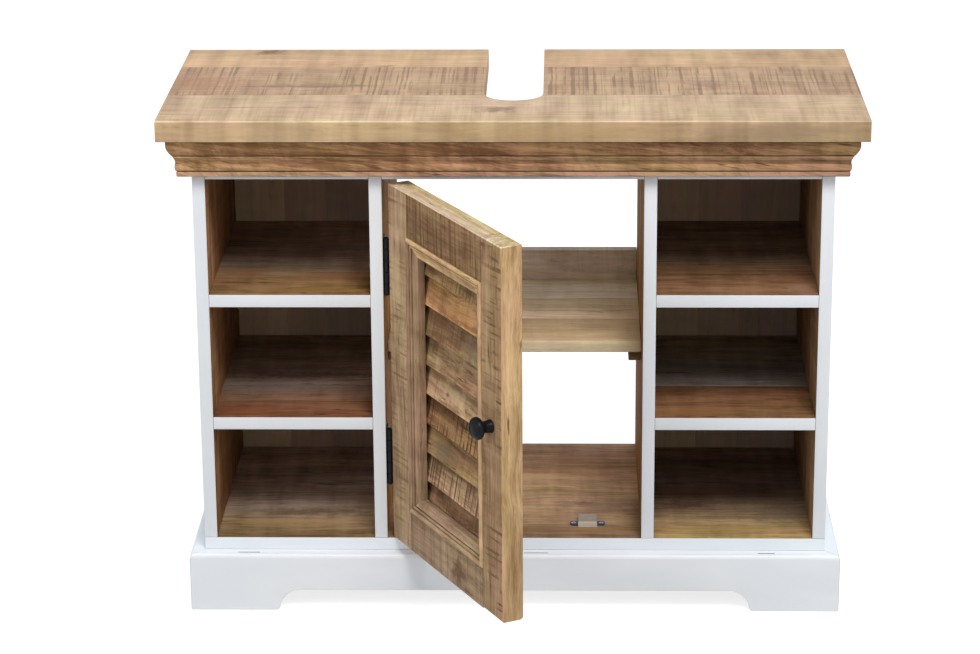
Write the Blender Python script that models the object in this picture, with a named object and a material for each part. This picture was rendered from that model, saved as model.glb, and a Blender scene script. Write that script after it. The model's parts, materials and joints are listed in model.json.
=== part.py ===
"""Vanity unit in solid wood: a painted carcass with open cubbies, a louvred door and an oiled top.

The cabinet's own frame has X to the right, Y to the back and Z up, with y = 0 on the carcass front and
z = 0 on the floor. The door stands ajar, turned about its hinge pins.
"""
import math

import bmesh
import bpy

# Gap left wherever two pieces meet
SEAM = 0.0003

# Carcass: boards of one thickness, two towers of cubbies either side of the centre compartment
BOARD = 0.015
CARCASS_DEPTH = 0.3205
TOWER_OPENING = 0.186
CENTRE_OPENING = 0.298
LOWER_CUBBY = 0.1355
MIDDLE_CUBBY = 0.1345
UPPER_CUBBY = 0.1375
TOP_RAIL_HEIGHT = 0.052

# Top slab, with a U-shaped cut from the back for the drain pipe
SLAB_THICKNESS = 0.025
SLAB_FRONT_OVERHANG = 0.0345
SLAB_SIDE_OVERHANG = 0.035
SLAB_EDGE_ROUND = 0.002
PIPE_CUT_WIDTH = 0.068
PIPE_CUT_DEPTH = 0.260

# Cornice under the slab: fillet, swelling ogee, cove, bead and foot, as reaches from the carcass face
CORNICE_HEIGHT = 0.045
CORNICE_FILLET_HEIGHT = 0.006
CORNICE_OGEE_HEIGHT = 0.0132
CORNICE_COVE_HEIGHT = 0.008
CORNICE_BEAD_HEIGHT = 0.0095
CORNICE_FILLET_REACH = 0.0252
CORNICE_OGEE_REACH = 0.0194
CORNICE_ARRIS_REACH = 0.0186
CORNICE_NECK_REACH = 0.0157
CORNICE_BEAD_SWELL = 0.0008
CORNICE_FOOT_REACH = 0.015
CORNICE_GROOVE = 0.001

# Plinth with bracket feet
PLINTH_HEIGHT = 0.0705
PLINTH_THICKNESS = 0.030
PLINTH_OVERHANG = 0.017
PLINTH_ROUND = 0.005
FOOT_LENGTH = 0.099
FOOT_TOE_RADIUS = 0.006
FOOT_SWEEP = math.radians(80.0)
ARCH_RISE = 0.0258

# Centre compartment
CENTRE_SHELF_RISE = 0.2238
CENTRE_SHELF_SETBACK = 0.0645
UPSTAND_HEIGHT = 0.0535
CLEAT_WIDTH = 0.015
CLEAT_HEIGHT = 0.012
CLEAT_SETBACK = 0.006

# Door, inset in the centre compartment
DOOR_AJAR = math.radians(62.5)
DOOR_RECESS = 0.006
DOOR_THICKNESS = 0.0265
DOOR_FREE_GAP = 0.003
DOOR_TOP_GAP = 0.0045
DOOR_BOTTOM_GAP = 0.0012
STILE_WIDTH = 0.048
DOOR_TOP_RAIL = 0.052
DOOR_BOTTOM_RAIL = 0.048

# Moulding planted round the louvres, as depths behind the door's face (negative stands proud)
MOULDING_WIDTH = 0.0195
MOULDING_BEAD_WIDTH = 0.006
MOULDING_BEAD_PROUD = 0.002
MOULDING_FILLET_WIDTH = 0.002
MOULDING_GROOVE = 0.001
MOULDING_INNER_DEPTH = 0.0048
MOULDING_BACK_DEPTH = 0.0135

# Louvre slats
SLAT_COUNT = 9
SLAT_CHORD = 0.038
SLAT_THICKNESS = 0.0045
SLAT_TILT = math.radians(12.0)
SLAT_TOP_MARGIN = 0.003
SLAT_BOTTOM_MARGIN = 0.006

# Butt hinges
HINGE_LENGTH = 0.068
HINGE_TOP_INSET = 0.0657
HINGE_BOTTOM_INSET = 0.066
KNUCKLE_RADIUS = 0.0034
KNUCKLE_COUNT = 5
KNUCKLE_CURL = math.radians(290.0)
PIN_RADIUS = 0.0016
PIN_CLEARANCE = 0.0003
PIN_HEAD_RADIUS = 0.0026
PIN_PROUD = 0.0015
PIN_HEAD_HEIGHT = 0.0008
LEAF_WIDTH = 0.019

# Knob and its screw
KNOB_HEIGHT = 0.3105
KNOB_HEAD_RADIUS = 0.0128
KNOB_NECK_RADIUS = 0.0066
KNOB_BASE_RADIUS = 0.0076
KNOB_BASE_HEIGHT = 0.002
KNOB_NECK_HEIGHT = 0.0115
KNOB_LENGTH = 0.025
KNOB_GIRTH_SHARE = 0.45
KNOB_UNDERCUT = math.radians(-30.0)
KNOB_SCREW_RADIUS = 0.002
KNOB_SCREW_GRIP = 0.014
KNOB_SCREW_HEAD_RADIUS = 0.004
KNOB_SCREW_HEAD_HEIGHT = 0.0012

# Magnetic catch on the base board and its strike plate on the door
CATCH_INSET = 0.0625
CATCH_BODY_WIDTH = 0.0225
CATCH_BODY_DEPTH = 0.0255
CATCH_BODY_HEIGHT = 0.0075
CATCH_PLATE_WIDTH = 0.0416
CATCH_PLATE_DEPTH = 0.011
CATCH_PLATE_THICKNESS = 0.002
CATCH_PLATE_SETBACK = 0.005
STRIKE_WIDTH = 0.024
STRIKE_HEIGHT = 0.012
STRIKE_THICKNESS = 0.0012
STRIKE_RISE = 0.0015

# Facets of round shapes, the turn that still shades as one surface, and how close counts as touching
ROUND_STEPS = 24
ARC_STEPS = 6
EDGE_STEPS = 2
SMOOTH_TURN = math.radians(35.0)
TOUCH = 1e-6

# Levels from the floor up
BASE_TOP = PLINTH_HEIGHT + BOARD
LOWER_SHELF = BASE_TOP + LOWER_CUBBY
UPPER_SHELF = LOWER_SHELF + BOARD + MIDDLE_CUBBY
OPENING_TOP = UPPER_SHELF + BOARD + UPPER_CUBBY
CARCASS_TOP = OPENING_TOP + TOP_RAIL_HEIGHT

# Faces across the width, measured from the middle
PARTITION_INNER = CENTRE_OPENING / 2
PARTITION_OUTER = PARTITION_INNER + BOARD
SIDE_INNER = PARTITION_OUTER + TOWER_OPENING
SIDE_OUTER = SIDE_INNER + BOARD
BACK_FACE = CARCASS_DEPTH - BOARD

# Hinge pin and the door's box about it, with the door closed
PIN_TO_DOOR = KNUCKLE_RADIUS + SEAM
PIN_X = -PARTITION_INNER + PIN_TO_DOOR
PIN_Y = DOOR_RECESS - PIN_PROUD
DOOR_EDGE = PIN_TO_DOOR
DOOR_FACE = PIN_PROUD
DOOR_BACK = DOOR_FACE + DOOR_THICKNESS
DOOR_FREE = CENTRE_OPENING - PIN_TO_DOOR - DOOR_FREE_GAP
DOOR_BOTTOM = BASE_TOP + DOOR_BOTTOM_GAP
DOOR_TOP = OPENING_TOP - DOOR_TOP_GAP
LOUVRE_LEFT = DOOR_EDGE + STILE_WIDTH
LOUVRE_RIGHT = DOOR_FREE - STILE_WIDTH
LOUVRE_BOTTOM = DOOR_BOTTOM + DOOR_BOTTOM_RAIL
LOUVRE_TOP = DOOR_TOP - DOOR_TOP_RAIL

# The ajar door's free corner is the foremost point, so it sets the middle of the whole depth
FREE_CORNER = (DOOR_FREE - SEAM / 2, DOOR_FACE + SEAM / 2)
FRONT_REACH = PIN_Y - FREE_CORNER[0] * math.sin(DOOR_AJAR) + FREE_CORNER[1] * math.cos(DOOR_AJAR)
MIDDLE_DEPTH = (FRONT_REACH + CARCASS_DEPTH) / 2


def finish(name, colour, roughness, metallic=0.0):
    """A plain surface finish."""
    material = bpy.data.materials.new(name)
    material.use_nodes = True
    shader = material.node_tree.nodes["Principled BSDF"]
    shader.inputs["Base Color"].default_value = (*colour, 1.0)
    shader.inputs["Roughness"].default_value = roughness
    shader.inputs["Metallic"].default_value = metallic
    return material


def empty(name, location, parent=None):
    """A frame that pieces hang from."""
    frame = bpy.data.objects.new(name, None)
    frame.location = location
    frame.parent = parent
    bpy.context.collection.objects.link(frame)
    return frame


def piece(name, bm, material, parent, location=(0, 0, 0), rotation=(0, 0, 0), smooth=False):
    """Turn a finished bmesh into a named object in its place."""
    bmesh.ops.recalc_face_normals(bm, faces=bm.faces)
    mesh = bpy.data.meshes.new(name)
    bm.to_mesh(mesh)
    bm.free()
    mesh.materials.append(material)
    if smooth:
        mesh.shade_smooth()
        mesh.set_sharp_from_angle(angle=SMOOTH_TURN)
    thing = bpy.data.objects.new(name, mesh)
    thing.location = location
    thing.rotation_euler = rotation
    thing.parent = parent
    bpy.context.collection.objects.link(thing)
    return thing


def board(name, x, y, z, material, parent):
    """A straight board between its neighbours' faces, half a seam short on every side."""
    spans = (x, y, z)
    size = [high - low - SEAM for low, high in spans]
    bm = bmesh.new()
    bmesh.ops.create_cube(bm, size=1.0)
    bmesh.ops.scale(bm, vec=size, verts=bm.verts)
    middle = [(low + high) / 2 for low, high in spans]
    return piece(name, bm, material, parent, middle)


def extruded(outline, direction):
    """A closed solid drawn from a flat outline along a direction."""
    bm = bmesh.new()
    face = bm.faces.new([bm.verts.new(point) for point in outline])
    grown = bmesh.ops.extrude_face_region(bm, geom=[face])
    moved = [item for item in grown["geom"] if isinstance(item, bmesh.types.BMVert)]
    bmesh.ops.translate(bm, vec=direction, verts=moved)
    return bm


def turned(profile):
    """A round solid about Z from (radius, height) points that close on themselves or on the axis."""
    bm = bmesh.new()
    verts = [bm.verts.new((radius, 0, height)) for radius, height in profile]
    edges = [bm.edges.new(pair) for pair in zip(verts, verts[1:] + verts[:1])]
    edges = [edge for edge in edges if max(vert.co.x for vert in edge.verts) > 0]
    bmesh.ops.spin(bm, geom=verts + edges, axis=(0, 0, 1), cent=(0, 0, 0), angle=math.tau,
                   steps=ROUND_STEPS, use_merge=True)
    bmesh.ops.remove_doubles(bm, verts=bm.verts, dist=TOUCH)
    loose = [edge for edge in bm.edges if not edge.link_faces]
    bmesh.ops.delete(bm, geom=loose, context="EDGES")
    return bm


def mirrored(side, near, far):
    """A span across the width on the left (-1) or the right (1), low end first."""
    return sorted((side * near, side * far))


def arc(centre, radius, start, end, steps):
    """Points along an arc, both ends included."""
    angles = [start + (end - start) * step / steps for step in range(steps + 1)]
    return [(centre[0] + radius * math.cos(a), centre[1] + radius * math.sin(a)) for a in angles]


def eased(bm, edges, radius, steps):
    """Round a run of edges."""
    bmesh.ops.bevel(bm, geom=edges, offset=radius, segments=steps, profile=0.5, affect="EDGES")


def top_slab(root, wood):
    """The glued plank top, its edges eased, with the pipe cut open to the back."""
    half = SIDE_OUTER + SLAB_SIDE_OVERHANG
    front = -SLAB_FRONT_OVERHANG
    radius = PIPE_CUT_WIDTH / 2
    u_centre = (0, CARCASS_DEPTH - PIPE_CUT_DEPTH + radius)
    bottom_of_u = arc(u_centre, radius, math.tau, math.pi, 2 * ARC_STEPS)
    outline = [(-half, front), (half, front), (half, CARCASS_DEPTH), (radius, CARCASS_DEPTH)]
    outline += bottom_of_u + [(-radius, CARCASS_DEPTH), (-half, CARCASS_DEPTH)]
    bm = extruded([(x, y, SEAM / 2) for x, y in outline], (0, 0, SLAB_THICKNESS - SEAM / 2))
    border = {vert for vert in bm.verts if abs(vert.co.x) > half - TOUCH or vert.co.y < front + TOUCH}
    outer = [edge for edge in bm.edges if border.issuperset(edge.verts)]
    eased(bm, outer, SLAB_EDGE_ROUND, EDGE_STEPS)
    piece("top_slab", bm, wood, root, (0, 0, CARCASS_TOP), smooth=True)


def cornice_profile():
    """The cornice's section as (reach, height), from the top inside round to the foot."""
    top = CARCASS_TOP - SEAM / 2
    ogee_top = CARCASS_TOP - CORNICE_FILLET_HEIGHT
    ogee_foot = ogee_top - CORNICE_OGEE_HEIGHT
    arris = ogee_foot - CORNICE_GROOVE
    neck = arris - CORNICE_COVE_HEIGHT
    bead_foot = neck - CORNICE_BEAD_HEIGHT
    foot_top = bead_foot - CORNICE_GROOVE
    foot = CARCASS_TOP - CORNICE_HEIGHT
    swell = CORNICE_FILLET_REACH - CORNICE_OGEE_REACH
    hollow = CORNICE_ARRIS_REACH - CORNICE_NECK_REACH
    upper_groove = CORNICE_ARRIS_REACH - CORNICE_GROOVE
    lower_groove = CORNICE_FOOT_REACH - CORNICE_GROOVE
    quarter = math.pi / 2
    shares = [step / ARC_STEPS for step in range(ARC_STEPS + 1)]
    ogee = [(CORNICE_OGEE_REACH + swell * math.cos(quarter * share), ogee_top - CORNICE_OGEE_HEIGHT * share)
            for share in shares]
    cove = [(CORNICE_ARRIS_REACH - hollow * math.sin(quarter * share), arris - CORNICE_COVE_HEIGHT * share)
            for share in shares]
    bead = [(CORNICE_NECK_REACH + CORNICE_BEAD_SWELL * math.sin(math.pi * share),
             neck - CORNICE_BEAD_HEIGHT * share) for share in shares[1:]]
    return ([(SEAM, top), (CORNICE_FILLET_REACH, top)] + ogee
            + [(upper_groove, ogee_foot), (upper_groove, arris)] + cove + bead
            + [(lower_groove, bead_foot), (lower_groove, foot_top), (CORNICE_FOOT_REACH, foot_top),
               (CORNICE_FOOT_REACH, foot), (SEAM, foot)])


def cornice(root, wood):
    """Front and side lengths of cornice, mitred at the two front corners and cut square at the back."""
    profile = cornice_profile()
    half = SIDE_OUTER - SEAM
    front = extruded([(-half, -reach, z) for reach, z in profile], (2 * half, 0, 0))
    for vert in front.verts:
        vert.co.x += math.copysign(-vert.co.y, vert.co.x)
    piece("cornice_front", front, wood, root, smooth=True)
    for name, side in (("cornice_left", -1), ("cornice_right", 1)):
        section = [(side * (SIDE_OUTER + reach), 0, z) for reach, z in profile]
        length = extruded(section, (0, CARCASS_DEPTH, 0))
        for vert in length.verts:
            if vert.co.y < CARCASS_DEPTH / 2:
                vert.co.y = SIDE_OUTER - abs(vert.co.x) + SEAM
        piece(name, length, wood, root, smooth=True)


def carcass(root, paint, inside):
    """Sides, partitions, base, rails, shelves and backs."""
    depth = (0, CARCASS_DEPTH)
    upright = (BASE_TOP, CARCASS_TOP)
    board("base_board", (-SIDE_OUTER, SIDE_OUTER), depth, (PLINTH_HEIGHT, BASE_TOP), paint, root)
    rail = (OPENING_TOP, CARCASS_TOP)
    board("top_rail_centre", (-PARTITION_INNER, PARTITION_INNER), (0, BOARD), rail, paint, root)
    for word, side in (("left", -1), ("right", 1)):
        tower = mirrored(side, PARTITION_OUTER, SIDE_INNER)
        panel = mirrored(side, SIDE_INNER, SIDE_OUTER)
        partition = mirrored(side, PARTITION_INNER, PARTITION_OUTER)
        board(f"side_panel_{word}", panel, depth, upright, paint, root)
        board(f"partition_{word}", partition, depth, upright, paint, root)
        board(f"top_rail_{word}", tower, (0, BOARD), rail, paint, root)
        board(f"tower_back_{word}", tower, (BACK_FACE, CARCASS_DEPTH), upright, inside, root)
        for level, height in (("lower", LOWER_SHELF), ("upper", UPPER_SHELF)):
            board(f"shelf_{word}_{level}", tower, (0, BACK_FACE), (height, height + BOARD), inside, root)


def centre_compartment(root, inside):
    """The loose shelf on its two cleats, with an upstand rail behind it."""
    top = BASE_TOP + CENTRE_SHELF_RISE
    under = top - BOARD
    between = (-PARTITION_INNER, PARTITION_INNER)
    board("centre_shelf", between, (CENTRE_SHELF_SETBACK, BACK_FACE), (under, top), inside, root)
    board("upstand_rail", between, (BACK_FACE, CARCASS_DEPTH), (under, under + UPSTAND_HEIGHT), inside, root)
    run = (CENTRE_SHELF_SETBACK + CLEAT_SETBACK, BACK_FACE)
    for word, side in (("left", -1), ("right", 1)):
        across = mirrored(side, PARTITION_INNER, PARTITION_INNER - CLEAT_WIDTH)
        board(f"shelf_cleat_{word}", across, run, (under - CLEAT_HEIGHT, under), inside, root)


def foot_curve(toe):
    """The ogee from a foot's toe at x = toe up to the arch on its left, ending on the arch's flat."""
    down = -math.pi / 2
    up = math.pi / 2
    reach = ARCH_RISE / (1 - math.cos(FOOT_SWEEP))
    hollow = reach - FOOT_TOE_RADIUS
    run = reach * math.sin(FOOT_SWEEP)
    round_toe = arc((toe, FOOT_TOE_RADIUS), FOOT_TOE_RADIUS, down, down - FOOT_SWEEP, ARC_STEPS)
    rise = arc((toe - run, ARCH_RISE - hollow), hollow, up - FOOT_SWEEP, up, ARC_STEPS)
    return round_toe[:-1] + rise


def plinth_board(length, left_mitre, right_mitre, rounded):
    """A plinth length with an arch between two feet, its outer face at y = 0 and its foot on the floor."""
    half = length / 2
    top = PLINTH_HEIGHT - SEAM / 2
    right_curve = foot_curve(half - FOOT_LENGTH)
    left_curve = [(-x, z) for x, z in right_curve]
    outline = [(-half, 0)] + left_curve + right_curve[::-1] + [(half, 0), (half, top), (-half, top)]
    bm = extruded([(x, 0, z) for x, z in outline], (0, PLINTH_THICKNESS, 0))
    for vert in bm.verts:
        mitred = left_mitre if vert.co.x < 0 else right_mitre
        if mitred and abs(vert.co.x) > half - TOUCH:
            vert.co.x -= math.copysign(vert.co.y + SEAM, vert.co.x)
    if rounded:
        rim = {vert for vert in bm.verts if vert.co.y < TOUCH and vert.co.z > top - TOUCH}
        eased(bm, [edge for edge in bm.edges if rim.issuperset(edge.verts)], PLINTH_ROUND, ARC_STEPS)
    return bm


def plinth(root, paint):
    """Front and side lengths mitred at the front corners, and a plain rail between the sides at the back."""
    outer = SIDE_OUTER + PLINTH_OVERHANG
    run = CARCASS_DEPTH + PLINTH_OVERHANG
    middle = (CARCASS_DEPTH - PLINTH_OVERHANG) / 2
    quarter = math.pi / 2
    front = plinth_board(2 * outer, True, True, True)
    piece("plinth_front", front, paint, root, (0, -PLINTH_OVERHANG, 0), smooth=True)
    left = plinth_board(run, False, True, True)
    piece("plinth_left", left, paint, root, (-outer, middle, 0), (0, 0, -quarter), smooth=True)
    right = plinth_board(run, True, False, True)
    piece("plinth_right", right, paint, root, (outer, middle, 0), (0, 0, quarter), smooth=True)
    back = plinth_board(2 * (outer - PLINTH_THICKNESS - SEAM), False, False, False)
    piece("plinth_back", back, paint, root, (0, CARCASS_DEPTH, 0), (0, 0, math.pi), smooth=True)


def moulding_profile():
    """The moulding's section as (width from the outer edge, depth behind the door's face)."""
    bead = MOULDING_BEAD_WIDTH
    proud = [(SEAM + (bead - SEAM) * (x + 1) / 2, -MOULDING_BEAD_PROUD * z)
             for x, z in arc((0, 0), 1, math.pi, 0, ARC_STEPS)]
    fillet = bead + MOULDING_FILLET_WIDTH
    return ([(SEAM, MOULDING_BACK_DEPTH)] + proud
            + [(bead, MOULDING_GROOVE), (fillet, MOULDING_GROOVE), (fillet, 2 * MOULDING_GROOVE),
               (MOULDING_WIDTH, MOULDING_INNER_DEPTH), (MOULDING_WIDTH, MOULDING_BACK_DEPTH)])


def door_moulding(door, wood):
    """Four mitred lengths of moulding planted inside the door frame, in front of the slats."""
    profile = moulding_profile()
    across = (LOUVRE_LEFT + LOUVRE_RIGHT) / 2
    up = (LOUVRE_BOTTOM + LOUVRE_TOP) / 2
    wide = LOUVRE_RIGHT - LOUVRE_LEFT
    tall = LOUVRE_TOP - LOUVRE_BOTTOM
    quarter = math.pi / 2
    lengths = (("top", wide, (across, LOUVRE_TOP), 0), ("bottom", wide, (across, LOUVRE_BOTTOM), math.pi),
               ("free", tall, (LOUVRE_RIGHT, up), quarter), ("hinge", tall, (LOUVRE_LEFT, up), -quarter))
    for word, length, (x, z), turn in lengths:
        run = length / 2 - SEAM
        bm = extruded([(-run, depth, -width) for width, depth in profile], (2 * run, 0, 0))
        for vert in bm.verts:
            vert.co.x -= math.copysign(vert.co.z, vert.co.x)
        piece(f"door_moulding_{word}", bm, wood, door, (x, DOOR_FACE, z), (0, turn, 0), smooth=True)


def louvres(door, wood):
    """Fixed slats between the stiles, leaning back and lapping like siding."""
    lean = SLAT_CHORD * math.cos(SLAT_TILT)
    drop = SLAT_THICKNESS * math.sin(SLAT_TILT)
    lowest = LOUVRE_BOTTOM + SLAT_BOTTOM_MARGIN + drop
    highest = LOUVRE_TOP - SLAT_TOP_MARGIN - lean
    pitch = (highest - lowest) / (SLAT_COUNT - 1)
    length = LOUVRE_RIGHT - LOUVRE_LEFT - 2 * SEAM
    middle = (LOUVRE_LEFT + LOUVRE_RIGHT) / 2
    front = DOOR_FACE + MOULDING_BACK_DEPTH + SEAM
    for number in range(SLAT_COUNT):
        bm = bmesh.new()
        bmesh.ops.create_cube(bm, size=1.0)
        bmesh.ops.scale(bm, vec=(length, SLAT_THICKNESS, SLAT_CHORD), verts=bm.verts)
        bmesh.ops.translate(bm, vec=(0, SLAT_THICKNESS / 2, SLAT_CHORD / 2), verts=bm.verts)
        place = (middle, front, lowest + pitch * number)
        piece(f"slat_{SLAT_COUNT - number}", bm, wood, door, place, (-SLAT_TILT, 0, 0))


def drilled(target, at, radius, length):
    """Cut a round hole along Y through an object with a hidden cutter."""
    bm = bmesh.new()
    bmesh.ops.create_cone(bm, segments=ROUND_STEPS, radius1=radius, radius2=radius, depth=length,
                          cap_ends=True)
    material = target.data.materials[0]
    cutter = piece(f"{target.name}_hole", bm, material, target.parent, at, (math.pi / 2, 0, 0))
    cutter.hide_render = True
    cutter.display_type = "WIRE"
    cut = target.modifiers.new("hole", "BOOLEAN")
    cut.operation = "DIFFERENCE"
    cut.object = cutter


def door_frame(door, wood):
    """Two full-height stiles with the rails between them; the free stile is drilled for the knob's screw."""
    depth = (DOOR_FACE, DOOR_BACK)
    height = (DOOR_BOTTOM, DOOR_TOP)
    board("door_stile_hinge", (DOOR_EDGE, LOUVRE_LEFT), depth, height, wood, door)
    free = board("door_stile_free", (LOUVRE_RIGHT, DOOR_FREE), depth, height, wood, door)
    board("door_rail_top", (LOUVRE_LEFT, LOUVRE_RIGHT), depth, (LOUVRE_TOP, DOOR_TOP), wood, door)
    board("door_rail_bottom", (LOUVRE_LEFT, LOUVRE_RIGHT), depth, (DOOR_BOTTOM, LOUVRE_BOTTOM), wood, door)
    at = (DOOR_FREE - STILE_WIDTH / 2, (DOOR_FACE + DOOR_BACK) / 2, KNOB_HEIGHT)
    drilled(free, at, KNOB_SCREW_RADIUS + SEAM, 2 * DOOR_THICKNESS)


def knob(door, iron, steel):
    """A turned mushroom knob with a flared base, and the screw that holds it from behind the stile."""
    bore = KNOB_SCREW_RADIUS + SEAM
    flare = (KNOB_BASE_RADIUS + KNOB_NECK_RADIUS) / 2
    crown = KNOB_LENGTH - KNOB_NECK_HEIGHT
    girth = KNOB_NECK_HEIGHT + crown * KNOB_GIRTH_SHARE
    dome = KNOB_LENGTH - girth
    swell = arc((0, 0), 1, KNOB_UNDERCUT, math.pi / 2, ARC_STEPS)
    head = [(KNOB_HEAD_RADIUS * x, girth + dome * z) for x, z in swell[:-1]]
    profile = [(bore, SEAM), (KNOB_BASE_RADIUS, SEAM), (KNOB_BASE_RADIUS, KNOB_BASE_HEIGHT),
               (flare, (KNOB_BASE_HEIGHT + KNOB_NECK_HEIGHT) / 2), (KNOB_NECK_RADIUS, KNOB_NECK_HEIGHT)]
    profile += head + [(0, KNOB_LENGTH), (0, KNOB_SCREW_GRIP + SEAM), (bore, KNOB_SCREW_GRIP + SEAM)]
    place = (DOOR_FREE - STILE_WIDTH / 2, DOOR_FACE, KNOB_HEIGHT)
    outward = (math.pi / 2, 0, 0)
    piece("knob", turned(profile), iron, door, place, outward, smooth=True)
    back = -DOOR_THICKNESS - SEAM
    tip = [(KNOB_SCREW_RADIUS, KNOB_SCREW_GRIP), (0, KNOB_SCREW_GRIP)]
    shank = [(0, back - KNOB_SCREW_HEAD_HEIGHT), (KNOB_SCREW_HEAD_RADIUS, back - KNOB_SCREW_HEAD_HEIGHT),
             (KNOB_SCREW_HEAD_RADIUS, back), (KNOB_SCREW_RADIUS, back)]
    piece("knob_screw", turned(shank + tip), steel, door, place, outward, smooth=True)


def hinge_leaf(side, rows):
    """A leaf rolled from sheet round the pin: a plate behind the knuckles it owns.

    side is -1 for the leaf on the partition and 1 for the one on the door; rows are its own knuckles,
    counted from the bottom. The pin is the Z axis and z = 0 is the hinge's foot.
    """
    wall = KNUCKLE_RADIUS - PIN_RADIUS - PIN_CLEARANCE
    pitch = HINGE_LENGTH / KNUCKLE_COUNT
    clear = KNUCKLE_RADIUS + SEAM
    start = math.pi if side < 0 else 0.0
    curl = arc((0, 0), KNUCKLE_RADIUS, start, start - side * KNUCKLE_CURL, 2 * ARC_STEPS)
    path = [(side * KNUCKLE_RADIUS, LEAF_WIDTH), (side * KNUCKLE_RADIUS, clear)] + curl
    levels = []
    for row in range(KNUCKLE_COUNT):
        own = row in rows
        trim = SEAM / 2 if own else -SEAM / 2
        low = row * pitch + (trim if row > 0 else 0)
        high = (row + 1) * pitch - (trim if row < KNUCKLE_COUNT - 1 else 0)
        levels.append((low, high, own))
    bm = bmesh.new()
    corners = {}

    def corner(column, z):
        key = (column, round(z, 7))
        if key not in corners:
            corners[key] = bm.verts.new((*path[column], z))
        return corners[key]

    for low, high, own in levels:
        for left in range(len(path) - 1 if own else 1):
            right = left + 1
            bm.faces.new((corner(left, low), corner(right, low), corner(right, high), corner(left, high)))
    bm.normal_update()
    bmesh.ops.solidify(bm, geom=bm.faces[:], thickness=-side * wall)
    return bm


def hinges(root, door, iron):
    """Two butt hinges, each with a leaf on the partition, a leaf on the door and a headed pin."""
    frame_rows = range(0, KNUCKLE_COUNT, 2)
    door_rows = range(1, KNUCKLE_COUNT, 2)
    feet = (("upper", DOOR_TOP - HINGE_TOP_INSET - HINGE_LENGTH),
            ("lower", DOOR_BOTTOM + HINGE_BOTTOM_INSET))
    low = -SEAM
    high = HINGE_LENGTH + SEAM
    under = low - PIN_HEAD_HEIGHT
    over = high + PIN_HEAD_HEIGHT
    crown = PIN_HEAD_HEIGHT / 2
    pin = [(0, under), (PIN_RADIUS, under), (PIN_HEAD_RADIUS, low - crown), (PIN_HEAD_RADIUS, low),
           (PIN_RADIUS, low), (PIN_RADIUS, high), (PIN_HEAD_RADIUS, high), (PIN_HEAD_RADIUS, high + crown),
           (PIN_RADIUS, over), (0, over)]
    for word, foot in feet:
        place = (PIN_X, PIN_Y, foot)
        frame_leaf = hinge_leaf(-1, frame_rows)
        door_leaf = hinge_leaf(1, door_rows)
        piece(f"hinge_{word}_frame_leaf", frame_leaf, iron, root, place, smooth=True)
        piece(f"hinge_{word}_door_leaf", door_leaf, iron, door, (0, 0, foot), smooth=True)
        piece(f"hinge_{word}_pin", turned(pin), iron, root, place, smooth=True)


def catch(root, door, shell, iron, steel):
    """The magnet in its housing over a screwed plate, and the strike plate that it holds."""
    middle = PARTITION_INNER - CATCH_INSET
    strike_back = DOOR_BACK + SEAM + STRIKE_THICKNESS
    front = PIN_Y + strike_back + SEAM
    plate_front = front + CATCH_PLATE_SETBACK
    plate_back = plate_front + CATCH_PLATE_DEPTH
    foot = BASE_TOP + SEAM / 2
    plate_top = BASE_TOP + CATCH_PLATE_THICKNESS
    half = CATCH_PLATE_WIDTH / 2
    ears = (middle - half, middle + half)
    board("catch_plate", ears, (plate_front, plate_back), (BASE_TOP, plate_top), iron, root)
    back = front + CATCH_BODY_DEPTH
    top = BASE_TOP + CATCH_BODY_HEIGHT
    slot = plate_top + SEAM
    outline = [(front, foot), (front, top), (back, top), (back, foot), (plate_back + SEAM, foot),
               (plate_back + SEAM, slot), (plate_front - SEAM, slot), (plate_front - SEAM, foot)]
    left = middle - CATCH_BODY_WIDTH / 2
    body = extruded([(left, y, z) for y, z in outline], (CATCH_BODY_WIDTH, 0, 0))
    piece("catch_body", body, shell, root)
    across = (middle - PIN_X - STRIKE_WIDTH / 2, middle - PIN_X + STRIKE_WIDTH / 2)
    low = DOOR_BOTTOM + STRIKE_RISE
    board("strike_plate", across, (DOOR_BACK, strike_back), (low, low + STRIKE_HEIGHT), steel, door)


def main():
    """Build the whole unit about the middle of its footprint, with the door ajar."""
    for leftover in list(bpy.data.objects):
        bpy.data.objects.remove(leftover)
    paint = finish("white paint", (0.80, 0.83, 0.86), 0.45)
    oiled = finish("oiled mango wood", (0.50, 0.34, 0.20), 0.55)
    stained = finish("stained cornice wood", (0.32, 0.17, 0.08), 0.5)
    inside = finish("bare brown wood", (0.20, 0.11, 0.06), 0.6)
    weathered = finish("weathered door wood", (0.34, 0.21, 0.12), 0.6)
    iron = finish("black iron", (0.012, 0.012, 0.014), 0.4, 0.6)
    steel = finish("zinc plated steel", (0.55, 0.55, 0.55), 0.35, 1.0)
    shell = finish("beige plastic", (0.48, 0.42, 0.34), 0.5)
    root = empty("cabinet", (0, -MIDDLE_DEPTH, 0))
    door = empty("door_hinge_line", (PIN_X, PIN_Y, 0), root)
    door.rotation_euler = (0, 0, -DOOR_AJAR)
    plinth(root, paint)
    carcass(root, paint, inside)
    centre_compartment(root, inside)
    cornice(root, stained)
    top_slab(root, oiled)
    door_frame(door, weathered)
    door_moulding(door, weathered)
    louvres(door, weathered)
    hinges(root, door, iron)
    knob(door, iron, steel)
    catch(root, door, shell, iron, steel)
    bpy.context.view_layer.update()


main()
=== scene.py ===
"""Looks of the vanity unit: painted and oiled mango wood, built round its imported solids.

Every size is in metres in the frame of the solids: X to the right, Y to the back, Z up, floor at zero.
"""
import json
import math

import bmesh
import bpy
from mathutils import Matrix, Vector


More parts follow.
